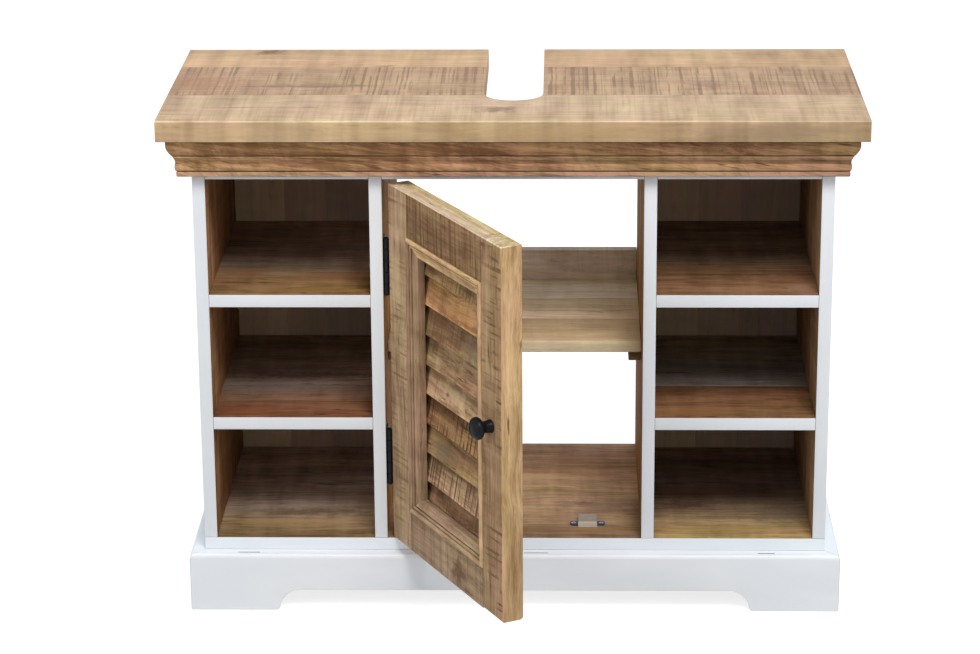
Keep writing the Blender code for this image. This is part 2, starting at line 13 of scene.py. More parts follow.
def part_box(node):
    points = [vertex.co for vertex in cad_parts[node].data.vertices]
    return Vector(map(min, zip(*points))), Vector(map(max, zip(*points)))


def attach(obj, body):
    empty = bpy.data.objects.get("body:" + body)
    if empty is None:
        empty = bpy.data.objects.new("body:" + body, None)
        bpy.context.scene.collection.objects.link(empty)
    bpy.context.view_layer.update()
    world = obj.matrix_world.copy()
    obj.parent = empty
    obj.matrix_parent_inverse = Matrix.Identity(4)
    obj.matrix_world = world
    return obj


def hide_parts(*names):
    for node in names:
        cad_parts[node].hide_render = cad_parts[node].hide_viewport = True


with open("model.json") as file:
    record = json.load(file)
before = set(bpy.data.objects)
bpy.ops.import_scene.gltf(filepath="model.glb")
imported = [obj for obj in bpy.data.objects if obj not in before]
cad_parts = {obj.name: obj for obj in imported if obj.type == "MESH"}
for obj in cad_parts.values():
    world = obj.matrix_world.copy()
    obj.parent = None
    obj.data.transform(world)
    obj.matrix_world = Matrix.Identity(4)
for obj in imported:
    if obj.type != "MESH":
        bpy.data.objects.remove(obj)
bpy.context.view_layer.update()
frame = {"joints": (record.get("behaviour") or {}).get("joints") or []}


# Plinth
# Four lengths of solid wood with ogee bracket feet, mitred at the front corners, the back rail between
# the sides. Sprayed with a cool white satin paint, paler and bluer on the ledge as painted light from
# above;
# three short slots show on the front ledge, dark inside as painted shade.
SAME = 1e-6  # points nearer than this are one
CLOSE = 1e-4  # faces nearer than this are level
QUARTER = math.pi / 2
FOOT_LENGTH = 0.099
FOOT_TOE = 0.006
FOOT_SWEEP = math.radians(80.0)
ARCH_RISE = 0.0258
PLINTH_ROUND = 0.005
PLINTH_EASE = 0.0008
SLOTS = ((-0.325, -0.2995), (0.0115, 0.0397), (0.286, 0.306))
SLOT_BACK = 0.0075
SLOT_WIDTH = 0.0016
SLOT_DEPTH = 0.004
PAINT_TINT = (0.75, 0.77, 0.80)


def wired(tree, target, sockets):
    """Links each named socket of a node to another socket, or sets it to a plain value or colour."""
    for key, value in sockets.items():
        socket = target.inputs[key]
        if isinstance(value, bpy.types.NodeSocket):
            tree.links.new(value, socket)
        else:
            socket.default_value = (*value, 1.0) if socket.type == "RGBA" else value


def node(tree, kind, sockets=(), **settings):
    """A shader node with its settings made and its sockets wired."""
    made = tree.nodes.new(kind)
    for key, value in settings.items():
        setattr(made, key, value)
    wired(tree, made, dict(sockets))
    return made


def calc(tree, operation, first, second=0.0, third=0.0):
    """A sum on numbers."""
    return node(tree, "ShaderNodeMath", {0: first, 1: second, 2: third}, operation=operation).outputs[0]


def stretched(tree, operation, first, second):
    """A sum on vectors."""
    return node(tree, "ShaderNodeVectorMath", {0: first, 1: second}, operation=operation).outputs[0]


def ramped(tree, value, low, high, start=0.0, end=1.0):
    """A soft step from start to end while the value goes from low to high."""
    sockets = {"Value": value, "From Min": low, "From Max": high, "To Min": start, "To Max": end}
    return node(tree, "ShaderNodeMapRange", sockets, interpolation_type="SMOOTHSTEP").outputs[0]


def mixed(tree, factor, first, second, blend="MIX"):
    """Two colours mixed."""
    sockets = {0: factor, 6: first, 7: second}
    return node(tree, "ShaderNodeMix", sockets, data_type="RGBA", blend_type=blend).outputs[2]


def cells(tree, where, counts, detail=2.0, roughness=0.5):
    """Noise with so many cells a metre along, across and through the wood, from 0 to 1."""
    spread = stretched(tree, "MULTIPLY", where, counts)
    sockets = {"Vector": spread, "Scale": 1.0, "Detail": detail, "Roughness": roughness}
    return node(tree, "ShaderNodeTexNoise", sockets).outputs[0]


def patches(tree, where, counts, low, high, detail=2.0, roughness=0.5):
    """Soft patches where such noise rises from low to high."""
    return ramped(tree, cells(tree, where, counts, detail, roughness), low, high)


def own_place(tree):
    """Where a point lies on its own object."""
    return node(tree, "ShaderNodeTexCoord").outputs["Object"]


def new_finish(name):
    """An empty finish: its material, node tree and shader."""
    material = bpy.data.materials.new(name)
    material.use_nodes = True
    return material, material.node_tree, material.node_tree.nodes["Principled BSDF"]


def bumped(tree, shader, height, strength, depth):
    """Raises the surface by a height that the light sees."""
    made = node(tree, "ShaderNodeBump", {"Height": height, "Strength": strength, "Distance": depth})
    wired(tree, shader, {"Normal": made.outputs[0]})


def satin_paint(name, thin, full):
    """Cool white satin paint over wood: thin to full cover, faint brush drag along it, tiny pores."""
    material, tree, shader = new_finish(name)
    wood = node(tree, "ShaderNodeAttribute", attribute_name="grain").outputs["Vector"]
    drag = cells(tree, wood, (9, 420, 420), 3.0, 0.6)
    pores = patches(tree, wood, (160, 900, 900), 0.70, 0.80, 1.0)
    cover = mixed(tree, patches(tree, wood, (7, 16, 16), 0.3, 0.7, 3.0), thin, full)
    cover = mixed(tree, calc(tree, "MULTIPLY", pores, 0.10), cover, (0.45, 0.42, 0.38))
    gloss = ramped(tree, cells(tree, wood, (30, 90, 90)), 0.2, 0.8, 0.38, 0.50)
    wired(tree, shader, {"Base Color": cover, "Roughness": gloss})
    bumped(tree, shader, calc(tree, "SUBTRACT", drag, pores), 0.25, 0.0002)
    return material


def shaded_slot_wood(name):
    """Unpainted wood in a narrow slot, drawn dark as painted shade."""
    material, tree, shader = new_finish(name)
    fibre = cells(tree, own_place(tree), (90, 400, 400))
    wired(tree, shader, {"Base Color": mixed(tree, fibre, (0.10, 0.075, 0.05), (0.22, 0.18, 0.13)),
                         "Roughness": 0.8})
    return material


def new_wood():
    """A bmesh whose points carry the run of their grain, and their tone with the share of saw marks."""
    bm = bmesh.new()
    bm.verts.layers.float_vector.new("grain")
    bm.verts.layers.float_color.new("tint")
    return bm


def in_wood(seed, point, along="X"):
    """Where a point lies along, across and through the wood of a plank, each far from the others."""
    order = {"X": (0, 1, 2), "Y": (1, 0, 2), "Z": (2, 0, 1)}[along]
    return Vector((0.731, 0.317, 0.173)) * seed + Vector([point[axis] for axis in order])


def stained(bm, verts, tint, marks=0.0):
    """Gives points a tone and a share of saw marks."""
    tone = bm.verts.layers.float_color["tint"]
    for vert in verts:
        vert[tone] = (*tint, marks)


def marked(bm, verts, along, tint, marks, seed):
    """Writes where each point lies in the wood of its own plank, and the plank's tone."""
    grain = bm.verts.layers.float_vector["grain"]
    for vert in verts:
        vert[grain] = in_wood(seed, vert.co, along)
    stained(bm, verts, tint, marks)


def as_object(name, bm, finishes):
    """Closes a bmesh into an object at the origin."""
    mesh = bpy.data.meshes.new(name)
    bm.to_mesh(mesh)
    bm.free()
    for finish in finishes:
        mesh.materials.append(finish)
    thing = bpy.data.objects.new(name, mesh)
    bpy.context.scene.collection.objects.link(thing)
    return thing


def made_piece(solid, ending, bm, finishes, body, turn=15.0):
    """Makes the finished piece that stands for a solid and rides on a body; edges past a turn are sharp."""
    thing = as_object(f"{solid}_{ending}", bm, finishes)
    thing.data.shade_smooth()
    thing.data.set_sharp_from_angle(angle=math.radians(turn))
    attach(thing, body)
    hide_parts(solid)


def rounded(bm, edges, radius, segments):
    """Rounds a run of edges."""
    bmesh.ops.bevel(bm, geom=edges, offset=radius, segments=segments, profile=0.5, affect="EDGES",
                    material=-1)


def is_corner(edge):
    """True where two faces meet at a clear angle."""
    return edge.calc_face_angle(0.0) > 1.0


def arc(centre, radius, start, end, steps):
    """Points along an arc, both ends included."""
    angles = [start + (end - start) * step / steps for step in range(steps + 1)]
    return [(centre[0] + radius * math.cos(a), centre[1] + radius * math.sin(a)) for a in angles]


def drawn(bm, outline, direction):
    """Draws a flat outline out along a direction into a closed solid."""
    face = bm.faces.new([bm.verts.new(point) for point in outline])
    grown = bmesh.ops.extrude_face_region(bm, geom=[face])["geom"]
    moved = [item for item in grown if isinstance(item, bmesh.types.BMVert)]
    bmesh.ops.translate(bm, vec=direction, verts=moved)
    bmesh.ops.recalc_face_normals(bm, faces=bm.faces)


def plinth_length(half, height, thickness, left_mitre, right_mitre, shown):
    """A length of plinth with its outer face at y = 0, its middle at x = 0 and its feet on the floor."""
    reach = ARCH_RISE / (1 - math.cos(FOOT_SWEEP))
    run = reach * math.sin(FOOT_SWEEP)
    toe = half - FOOT_LENGTH
    crown = (toe - run, ARCH_RISE - reach + FOOT_TOE)
    curve = arc((toe, FOOT_TOE), FOOT_TOE, -QUARTER, -QUARTER - FOOT_SWEEP, 10)[:-1]
    curve += arc(crown, reach - FOOT_TOE, QUARTER - FOOT_SWEEP, QUARTER, 16)
    outline = [(-half, 0)] + [(-x, z) for x, z in curve] + curve[::-1]
    outline += [(half, 0), (half, height), (-half, height)]
    bm = new_wood()
    drawn(bm, [(x, 0, z) for x, z in outline], (0, thickness, 0))
    for vert in bm.verts:
        mitred = left_mitre if vert.co.x < 0 else right_mitre
        if mitred and abs(vert.co.x) > half - SAME:
            vert.co.x -= math.copysign(vert.co.y, vert.co.x)
    if shown:
        rim = {vert for vert in bm.verts if vert.co.y < SAME and vert.co.z > height - SAME}
        rounded(bm, [edge for edge in bm.edges if rim.issuperset(edge.verts)], PLINTH_ROUND, 8)
    face = [edge for edge in bm.edges if all(vert.co.y < SAME for vert in edge.verts) and is_corner(edge)]
    rounded(bm, face, PLINTH_EASE, 2)
    bmesh.ops.remove_doubles(bm, verts=bm.verts, dist=SAME)
    return bm


def on_ledge(face, top):
    """True for the level faces at the top of a length of plinth."""
    return face.normal.z > 0.99 and face.calc_center_median().z > top - CLOSE


def slotted(bm, top, front):
    """Sinks the three short slots into the ledge."""
    low, high = front + SLOT_BACK, front + SLOT_BACK + SLOT_WIDTH
    cuts = [((0, y, 0), (0, 1, 0)) for y in (low, high)]
    cuts += [((x, 0, 0), (1, 0, 0)) for slot in SLOTS for x in slot]
    for place, normal in cuts:
        near = [face for face in bm.faces if on_ledge(face, top)]
        ring = {edge for face in near for edge in face.edges}
        points = {vert for face in near for vert in face.verts}
        bmesh.ops.bisect_plane(bm, geom=near + list(ring) + list(points), plane_co=place, plane_no=normal)
    for face in [face for face in bm.faces if on_ledge(face, top)]:
        middle = face.calc_center_median()
        if low < middle.y < high and any(left < middle.x < right for left, right in SLOTS):
            sunk = bmesh.ops.extrude_discrete_faces(bm, faces=[face])["faces"][0]
            bmesh.ops.translate(bm, vec=(0, 0, -SLOT_DEPTH), verts=sunk.verts)
            # The slot's floor and walls take the dark wood: bare wood, darkened as painted shade.
            for wall in [sunk] + [link for edge in sunk.edges for link in edge.link_faces]:
                wall.material_index = 1


# The third paint is the same white drawn paler and bluer: painted light from above on the ledge.
plinth_finishes = [satin_paint("white_satin_paint_on_plinth", (0.755, 0.768, 0.782), (0.805, 0.811, 0.816)),
                   shaded_slot_wood("bare_wood_with_painted_shade_in_slots"),
                   satin_paint("white_satin_paint_with_painted_light_on_ledge", (0.88, 0.915, 0.945), (0.92, 0.945, 0.965))]
for word, mitres, turn, seed in (("front", (True, True), 0, 1), ("left", (False, True), -1, 2),
                                 ("right", (True, False), 1, 3), ("back", (False, False), 2, 4)):
    low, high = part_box(f"plinth_{word}")
    along, deep = (0, 1) if word in ("front", "back") else (1, 0)
    bm = plinth_length((high[along] - low[along]) / 2, high.z, high[deep] - low[deep], *mitres,
                       word != "back")
    marked(bm, bm.verts, "X", PAINT_TINT, 0.0, seed)
    outer = {"front": low.y, "back": high.y, "left": low.x, "right": high.x}[word]
    middle = (low[along] + high[along]) / 2
    spot = (middle, outer, 0) if along == 0 else (outer, middle, 0)
    bm.transform(Matrix.Translation(spot) @ Matrix.Rotation(turn * QUARTER, 4, "Z"))
    if word == "front":
        bm.normal_update()
        slotted(bm, high.z, low.y)
    bm.normal_update()
    # The ledge and the top of its rounded arris take the paler paint, painted light from above.
    for face in bm.faces:
        at_top = face.normal.z > 0.7 and face.calc_center_median().z > high.z - PLINTH_ROUND
        if at_top and face.material_index == 0:
            face.material_index = 2
    made_piece(f"plinth_{word}", "painted", bm, plinth_finishes, "cabinet")


# Carcass boards
# Base, two sides, two partitions and the rails under the top, planed from 15 mm planks glued edge to
# edge. Only what shows from outside is painted; the faces inside the cubbies are stained brown.
BOARD_EASE = 0.0006
BLEND_EASE = 0.00003
HAIRLINE = 0.00001
STRIP_MARKS = 0.08
FRONT, LEFT, RIGHT, DOWN = (0, -1, 0), (-1, 0, 0), (1, 0, 0), (0, 0, -1)
PARTITION_TINT = (0.40, 0.228, 0.097)
TOP_RAIL_TINT = (0.31, 0.18, 0.095)


def toned(tree, colour, shade):
    """A colour multiplied by a shade."""
    return mixed(tree, 1.0, colour, shade, "MULTIPLY")


def blemish(tree, where, uneven, centre, reach, depth):
    """How much a ragged oval mark covers a point: its full depth in the middle, nothing at the rim."""
    away = stretched(tree, "DIVIDE", stretched(tree, "SUBTRACT", where, centre), reach)
    away = stretched(tree, "ADD", away, uneven)
    far = node(tree, "ShaderNodeVectorMath", {0: away}, operation="LENGTH").outputs["Value"]
    return ramped(tree, far, 0.1, 1.0, depth, 0.0)


def sawn_wood(name, contrast, lines, marks_tone, grey_share=0.0, blush=0.5, gloss=0.6, lean=0.06,
              lift=(1, 1, 1), cover=0.7, sheen=0.1, figured=0.8, crisp=0.07, dashes=30, blemishes=()):
    """Rough-sawn hardwood: streaks and fibres with the grain, pale figure and dark saw lines across it.

    The tone of each plank and its share of saw lines come with its points; lines are so many a metre.
    Knots and stains are ovals in the wood: centre, reach, depth and shade.
    """
    material, tree, shader = new_finish(name)
    wood = node(tree, "ShaderNodeAttribute", attribute_name="grain").outputs["Vector"]
    tone = node(tree, "ShaderNodeAttribute", attribute_name="tint")
    tint, share = toned(tree, tone.outputs["Color"], lift), tone.outputs["Alpha"]

    # Streaks and fibres follow a grain that wanders a little.
    drift = calc(tree, "MULTIPLY_ADD", cells(tree, wood, (5, 13, 13)), 0.036, -0.018)
    wander = node(tree, "ShaderNodeCombineXYZ", {"Y": drift, "Z": drift}).outputs[0]
    bent = stretched(tree, "ADD", wood, wander)
    broad = cells(tree, bent, (4, 28, 28))
    streak = cells(tree, bent, (9, 180, 180), 4.0, 0.62)
    fibre = cells(tree, bent, (70, 1000, 1000), 2.0, 0.6)
    figure = cells(tree, wood, (46, 8, 8))
    level = calc(tree, "MULTIPLY_ADD", broad, 1.1, calc(tree, "MULTIPLY_ADD", streak, 1.5, -1.3))
    for part, weight in ((fibre, 0.7), (figure, figured)):
        level = calc(tree, "ADD", level, calc(tree, "MULTIPLY_ADD", part, weight, -weight / 2))
    level = calc(tree, "MULTIPLY_ADD", level, contrast, 0.5)
    deep, pale = toned(tree, tint, (0.56, 0.50, 0.44)), toned(tree, tint, (1.42, 1.46, 1.50))
    colour = mixed(tree, level, deep, pale)

    # Warm and cool patches, dark veins and grey weathering.
    warmth = patches(tree, bent, (6, 34, 34), 0.36, 0.64, 3.0, 0.6)
    warmth = mixed(tree, warmth, (1.10, 0.90, 0.86), (1.02, 1.04, 0.70))
    colour = mixed(tree, blush, colour, toned(tree, colour, warmth))
    veins = patches(tree, bent, (13, 140, 140), 0.60, 0.74, 3.0, 0.7)
    grey = patches(tree, wood, (9, 34, 34), 0.52, 0.70, 3.0, 0.6)
    for part, amount, shade in ((veins, contrast * 0.9, (0.40, 0.31, 0.24)),
                                (grey, grey_share, (0.62, 0.70, 0.80))):
        colour = mixed(tree, calc(tree, "MULTIPLY", part, amount), colour, toned(tree, tint, shade))

    # Saw lines lean a little across the grain, break into dashes and stand in clumps.
    run = node(tree, "ShaderNodeSeparateXYZ", {0: wood}).outputs
    along = calc(tree, "MULTIPLY_ADD", calc(tree, "ADD", run[1], run[2]), lean, run[0])
    along = calc(tree, "MULTIPLY_ADD", cells(tree, wood, (30, 22, 22), 1.0), 0.0022, along)
    ruled = node(tree, "ShaderNodeTexNoise", {"W": along, "Scale": lines, "Detail": 2.5},
                 noise_dimensions="1D").outputs[0]
    broken = patches(tree, wood, (110, dashes, dashes), 0.54 - 0.22 * cover, 0.74 - 0.22 * cover, 2.0, 0.6)
    clump = min(17, dashes)
    clumps = patches(tree, wood, (12, clump, clump), 0.54 - 0.26 * cover, 0.72 - 0.26 * cover)
    sawn = ramped(tree, ruled, 0.53 - crisp, 0.53 + crisp)
    for part in (broken, clumps, share):
        sawn = calc(tree, "MULTIPLY", sawn, part)
    colour = mixed(tree, sawn, colour, toned(tree, tint, marks_tone))

    # Knots and stains have ragged rims.
    ragged = {"Vector": wood, "Scale": 70.0, "Detail": 6.0, "Roughness": 0.72}
    uneven = node(tree, "ShaderNodeTexNoise", ragged).outputs["Color"]
    uneven = stretched(tree, "SUBTRACT", uneven, (0.5, 0.5, 0.5))
    uneven = stretched(tree, "MULTIPLY", uneven, (2.2, 2.2, 2.2))
    for centre, reach, depth, shade in blemishes:
        covered = blemish(tree, wood, uneven, centre, reach, depth)
        colour = mixed(tree, covered, colour, toned(tree, tint, shade))

    dull = ramped(tree, streak, 0.2, 0.8, gloss + 0.14, gloss - 0.08)
    wired(tree, shader, {"Base Color": colour, "Roughness": dull, "Specular IOR Level": sheen})
    height = calc(tree, "MULTIPLY_ADD", fibre, 0.5, streak)
    sunk = calc(tree, "MULTIPLY_ADD", sawn, 1.2, calc(tree, "MULTIPLY", veins, 0.5))
    bumped(tree, shader, calc(tree, "SUBTRACT", height, sunk), 0.55, 0.0006)
    return material


def block(bm, low, high):
    """Adds a plain block between two corners."""
    low, high = Vector(low), Vector(high)
    made = bmesh.ops.create_cube(bm, size=1.0)["verts"]
    bmesh.ops.scale(bm, vec=high - low, verts=made)
    bmesh.ops.translate(bm, vec=(low + high) / 2, verts=made)
    return made


def plank(bm, low, high, along, tint, marks, seed, ease=BOARD_EASE):
    """Adds a board with eased edges between two corners, a hairline clear of its neighbours."""
    before = set(bm.verts)
    inset = Vector((HAIRLINE,) * 3)
    made = set(block(bm, Vector(low) + inset, Vector(high) - inset))
    rounded(bm, [edge for edge in bm.edges if edge.verts[0] in made], ease, 3)
    fresh = [vert for vert in bm.verts if vert not in before]
    marked(bm, fresh, along, tint, marks, seed)
    return fresh


def strips(bm, low, high, tones, seed):
    """Adds a shelf in strips: its tone runs from depth to depth, and a depth given twice is a joint."""
    for (start, near), (end, far) in zip(tones, tones[1:]):
        if start == end:
            seed += 1
            continue
        fresh = plank(bm, (low.x, low.y + start, low.z), (high.x, low.y + end, high.z), "X", near,
                      STRIP_MARKS, seed, BLEND_EASE if start else BOARD_EASE)
        middle = low.y + (start + end) / 2
        stained(bm, [vert for vert in fresh if vert.co.y > middle], far, STRIP_MARKS)


def painted(bm, *sides):
    """Paints the faces that look towards any of the given sides."""
    bm.normal_update()
    for face in bm.faces:
        if any(face.normal.dot(Vector(side)) > 0.3 for side in sides):
            face.material_index = 1


white_paint = satin_paint("white_satin_paint_on_boards", (0.705, 0.717, 0.731), (0.752, 0.758, 0.763))
# The base board's front lip takes the same white drawn paler and bluer: painted light from above, as on the
# ledge.
lit_lip_paint = satin_paint("white_satin_paint_with_painted_light_on_lip", (0.75, 0.79, 0.815), (0.79, 0.82, 0.84))

# Marks in the wood inside: place across and back from the front, reach along and across, depth, shade.
MARK_REACH = 1.4
MARK_DEEP = 0.017
SMOKE, SOOT, CHALK = (0.62, 0.65, 0.68), (0.48, 0.39, 0.33), (1.25, 1.28, 1.34)
GOLDEN, ROSY = (1.2, 1.1, 0.74), (1.22, 0.92, 0.76)
INSIDE_MARKS = {
    ("base_board", 100): (
        (-0.24, 0.083, 0.07, 0.014, 0.8, SOOT), (-0.27, 0.05, 0.08, 0.011, 0.85, GOLDEN)),
    ("base_board", 101): (
        (0.10, 0.105, 0.06, 0.024, 0.65, SMOKE), (0.085, 0.112, 0.014, 0.007, 0.7, SOOT),
        (0.08, 0.027, 0.13, 0.013, 0.5, GOLDEN), (0.06, 0.24, 0.09, 0.06, 0.4, ROSY)),
    ("base_board", 102): (
        (0.209, 0.109, 0.04, 0.015, 0.75, SOOT), (0.224, 0.155, 0.06, 0.022, 0.5, ROSY),
        (0.32, 0.080, 0.045, 0.034, 0.75, SMOKE), (0.256, 0.028, 0.11, 0.009, 0.6, GOLDEN)),
    ("shelf_left_upper", 21): (
        (-0.205, 0.075, 0.055, 0.014, 0.9, ROSY), (-0.30, 0.028, 0.035, 0.010, 0.95, CHALK),
        (-0.22, 0.02, 0.06, 0.008, 0.95, GOLDEN), (-0.32, 0.09, 0.04, 0.02, 0.8, ROSY)),
    ("shelf_left_lower", 24): (
        (-0.295, 0.11, 0.07, 0.028, 0.85, CHALK), (-0.235, 0.15, 0.10, 0.014, 0.75, SOOT),
        (-0.315, 0.025, 0.05, 0.018, 0.9, ROSY)),
    ("shelf_right_upper", 27): (
        (0.33, 0.03, 0.024, 0.014, 0.9, CHALK), (0.245, 0.08, 0.09, 0.005, 0.7, SOOT)),
    ("shelf_right_lower", 30): ((0.21, 0.02, 0.05, 0.012, 0.8, GOLDEN),),
}
low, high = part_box("base_board")
inside_marks = [(in_wood(seed, (x, low.y + y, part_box(board)[1].z)),
                 (MARK_REACH * along, MARK_REACH * across, MARK_DEEP), depth, shade)
                for (board, seed), marks in INSIDE_MARKS.items()
                for x, y, along, across, depth, shade in marks]
inside_wood = sawn_wood("brown_stained_inside_wood", 1.15, 120.0, (0.45, 0.40, 0.36), 0.25, 0.55,
                        sheen=0.02, blemishes=inside_marks)

BASE_LIP, BASE_END = 0.0015, 0.0005
BASE_DEPTH = high.y - low.y
BAY_EDGE = 0.1565
# Tones by depth in each bay: partly the planks' own, partly painted light where the left and centre bays
# turn paler towards the back.
BASE_TONES = {
    (low.x, -BAY_EDGE): ((BASE_LIP, (0.257, 0.172, 0.086)), (0.045, (0.345, 0.243, 0.142)),
                         (0.15, (0.66, 0.54, 0.49)), (BASE_DEPTH, (0.60, 0.50, 0.46))),
    (-BAY_EDGE, BAY_EDGE): ((BASE_LIP, (0.307, 0.205, 0.137)), (0.045, (0.345, 0.226, 0.146)),
                            (0.15, (0.56, 0.385, 0.24)), (BASE_DEPTH, (0.54, 0.35, 0.23))),
    (BAY_EDGE, high.x): ((BASE_LIP, (0.50, 0.353, 0.16)), (0.045, (0.37, 0.262, 0.142)),
                         (0.15, (0.28, 0.205, 0.17)), (BASE_DEPTH, (0.36, 0.28, 0.23))),
}
bm = new_wood()
plank(bm, low, (high.x, low.y + BASE_LIP, high.z), "X", PAINT_TINT, 0.0, 103)
for bay, ((left, right), tones) in enumerate(BASE_TONES.items()):
    strips(bm, Vector((left, low.y, low.z)), Vector((right, high.y, high.z)), tones, 100 + bay)
# The lip and the hidden ends take the paler paint, painted light on the lip.
for face in bm.faces:
    middle = face.calc_center_median()
    if middle.y < low.y + BASE_LIP - SAME or abs(middle.x) > high.x - BASE_END:
        face.material_index = 1
made_piece("base_board", "planks", bm, [inside_wood, lit_lip_paint], "cabinet")

for solid, along, tint, marks, seed, sides in (
        ("side_panel_left", "Z", (0.37, 0.215, 0.115), 0.15, 10, (FRONT, LEFT)),
        ("partition_left", "Z", PARTITION_TINT, 0.15, 12, (FRONT,)),
        ("side_panel_right", "Z", (0.37, 0.245, 0.15), 0.15, 11, (FRONT, RIGHT)),
        ("partition_right", "Z", PARTITION_TINT, 0.15, 13, (FRONT,)),
        ("top_rail_left", "X", TOP_RAIL_TINT, 0.1, 14, (FRONT, DOWN)),
        ("top_rail_centre", "X", TOP_RAIL_TINT, 0.1, 15, (FRONT, DOWN)),
        ("top_rail_right", "X", TOP_RAIL_TINT, 0.1, 16, (FRONT, DOWN))):
    bm = new_wood()
    plank(bm, *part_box(solid), along, tint, marks, seed)
    painted(bm, *sides)
    made_piece(solid, "board", bm, [inside_wood, white_paint], "cabinet")


# Tower shelves and backs
# Thin shelves in brown stain that changes tone towards the back, paler at the back partly as painted light
# reaching deep into the cubbies; the right ones are glued from two planks, and the front edge is painted.
# The backs are three smooth upright boards each, glued edge to edge, pale on the cubby side as painted
# light.
SHELF_DEPTH = 0.3048
SHELF_LIP = 0.003
PAINT_FILL = Vector((0.00013, 0.0, 0.00013))
# Tones by depth from the front edge; the paler tones at the back are partly painted light reaching into the
# cubbies.
SHELF_TONES = {
    "left_upper": ((0.0, (0.252, 0.146, 0.066)), (0.07, (0.27, 0.163, 0.081)),
                   (0.125, (0.33, 0.25, 0.20)), (SHELF_DEPTH, (0.40, 0.31, 0.25))),
    "left_lower": ((0.0, (0.219, 0.09, 0.048)), (0.06, (0.24, 0.122, 0.073)),
                   (0.115, (0.37, 0.28, 0.23)), (SHELF_DEPTH, (0.44, 0.35, 0.29))),
    "right_upper": ((0.0, (0.288, 0.157, 0.092)), (0.115, (0.28, 0.158, 0.09)),
                    (0.115, (0.24, 0.165, 0.11)), (SHELF_DEPTH, (0.36, 0.28, 0.24))),
    "right_lower": ((0.0, (0.23, 0.12, 0.063)), (0.113, (0.25, 0.13, 0.068)),
                    (0.113, (0.25, 0.235, 0.225)), (SHELF_DEPTH, (0.42, 0.36, 0.29))),
}
# Each back's three boards, tone and share of the width; the pale tones are painted light for the light
# reaching the back of the cubbies.
PAINTED_LIGHT_BACK_TONES = (((0.76, 0.60, 0.41), 0.33), ((0.61, 0.47, 0.35), 0.28), ((0.54, 0.42, 0.34), 0.39))
BACK_EASE = 0.0004
REAR_WITHOUT_PAINTED_LIGHT = Vector((0.66, 0.55, 0.44))


def shaded(bm, verts, shade):
    """Multiplies the tone of points by a shade, one number or one for each colour."""
    tone = bm.verts.layers.float_color["tint"]
    for vert in verts:
        vert[tone] = (*(Vector(vert[tone][:3]) * shade), vert[tone][3])


def painted_light_in_front_only(bm):
    """Takes the painted light off the rear of a board, leaving it a deeper tone than its pale front."""
    middle = sum(vert.co.y for vert in bm.verts) / len(bm.verts)
    shaded(bm, [vert for vert in bm.verts if vert.co.y > middle], REAR_WITHOUT_PAINTED_LIGHT)


for number, (word, tones) in enumerate(SHELF_TONES.items()):
    low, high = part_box(f"shelf_{word}")
    bm = new_wood()
    strips(bm, low - PAINT_FILL, high + PAINT_FILL, tones, 21 + 3 * number)
    painted(bm, FRONT)
    for face in bm.faces:
        if face.calc_center_median().y > low.y + SHELF_LIP:
            face.material_index = 0
    made_piece(f"shelf_{word}", "planks", bm, [inside_wood, white_paint], "cabinet")

back_wood = sawn_wood("brown_stained_back_wood", 0.3, 120.0, (0.6, 0.55, 0.5), 0.1, 0.4, sheen=0.02)
for word, seed in (("left", 34), ("right", 38)):
    low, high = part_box(f"tower_back_{word}")
    bm = new_wood()
    left = low.x
    for number, (tint, share) in enumerate(PAINTED_LIGHT_BACK_TONES):
        right = left + (high.x - low.x) * share
        plank(bm, (left, low.y, low.z), (right, high.y, high.z), "Z", tint, 0.0, seed + number, BACK_EASE)
        left = right
    # The rear loses the painted light and keeps a deeper wood tone.
    painted_light_in_front_only(bm)
    made_piece(f"tower_back_{word}", "planks", bm, [back_wood], "cabinet")


# Centre compartment
# A shelf lies on two cleats behind the door, with a rail standing at its back edge. Bare wood, lighter
# than in the towers, the shelf glued from three planks with a planed front edge. The planks grow paler
# towards the back and the rail's front is pale: painted light from the open back.
# The planks from the front; the paler back planks are partly painted light from the open back.
CENTRE_PLANKS = ((0.0, 0.085, (0.62, 0.46, 0.285), 41), (0.085, 0.165, (0.82, 0.66, 0.45), 42),
                 (0.165, 0.2407, (0.98, 0.88, 0.70), 43))
CENTRE_EASE, CENTRE_JOINT_EASE = 0.0015, 0.0004
CENTRE_EDGE, CENTRE_EDGE_BAND = (0.68, 0.56, 0.38), 0.0005
CENTRE_MARKS, CENTRE_EDGE_MARKS = 0.1, 0.05
CLEAT_TINT, CLEAT_EASE, CLEAT_MARKS = (0.22, 0.135, 0.065), 0.0012, 0.2
centre_wood = sawn_wood("bare_centre_wood", 0.55, 120.0, (0.55, 0.48, 0.42), 0.1, 0.4, sheen=0.05)
low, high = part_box("centre_shelf")
bm = new_wood()
for start, end, tint, seed in CENTRE_PLANKS:
    plank(bm, (low.x, low.y + start, low.z), (high.x, low.y + end, high.z), "X", tint, CENTRE_MARKS,
          seed, CENTRE_JOINT_EASE if start else CENTRE_EASE)
edge = [vert for vert in bm.verts if vert.co.y < low.y + CENTRE_EDGE_BAND]
stained(bm, edge, CENTRE_EDGE, CENTRE_EDGE_MARKS)
made_piece("centre_shelf", "planks", bm, [centre_wood], "cabinet")
# The upstand rail's pale front is painted light from the open back; its rear keeps a deeper tone.
for solid, along, tint, seed in (("upstand_rail", "X", (0.89, 0.84, 0.76), 45),
                                 ("shelf_cleat_left", "Y", CLEAT_TINT, 46),
                                 ("shelf_cleat_right", "Y", CLEAT_TINT, 47)):
    bm = new_wood()
    plank(bm, *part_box(solid), along, tint, CLEAT_MARKS, seed, CLEAT_EASE)
    if solid == "upstand_rail":
        painted_light_in_front_only(bm)
    made_piece(solid, "board", bm, [centre_wood], "cabinet")


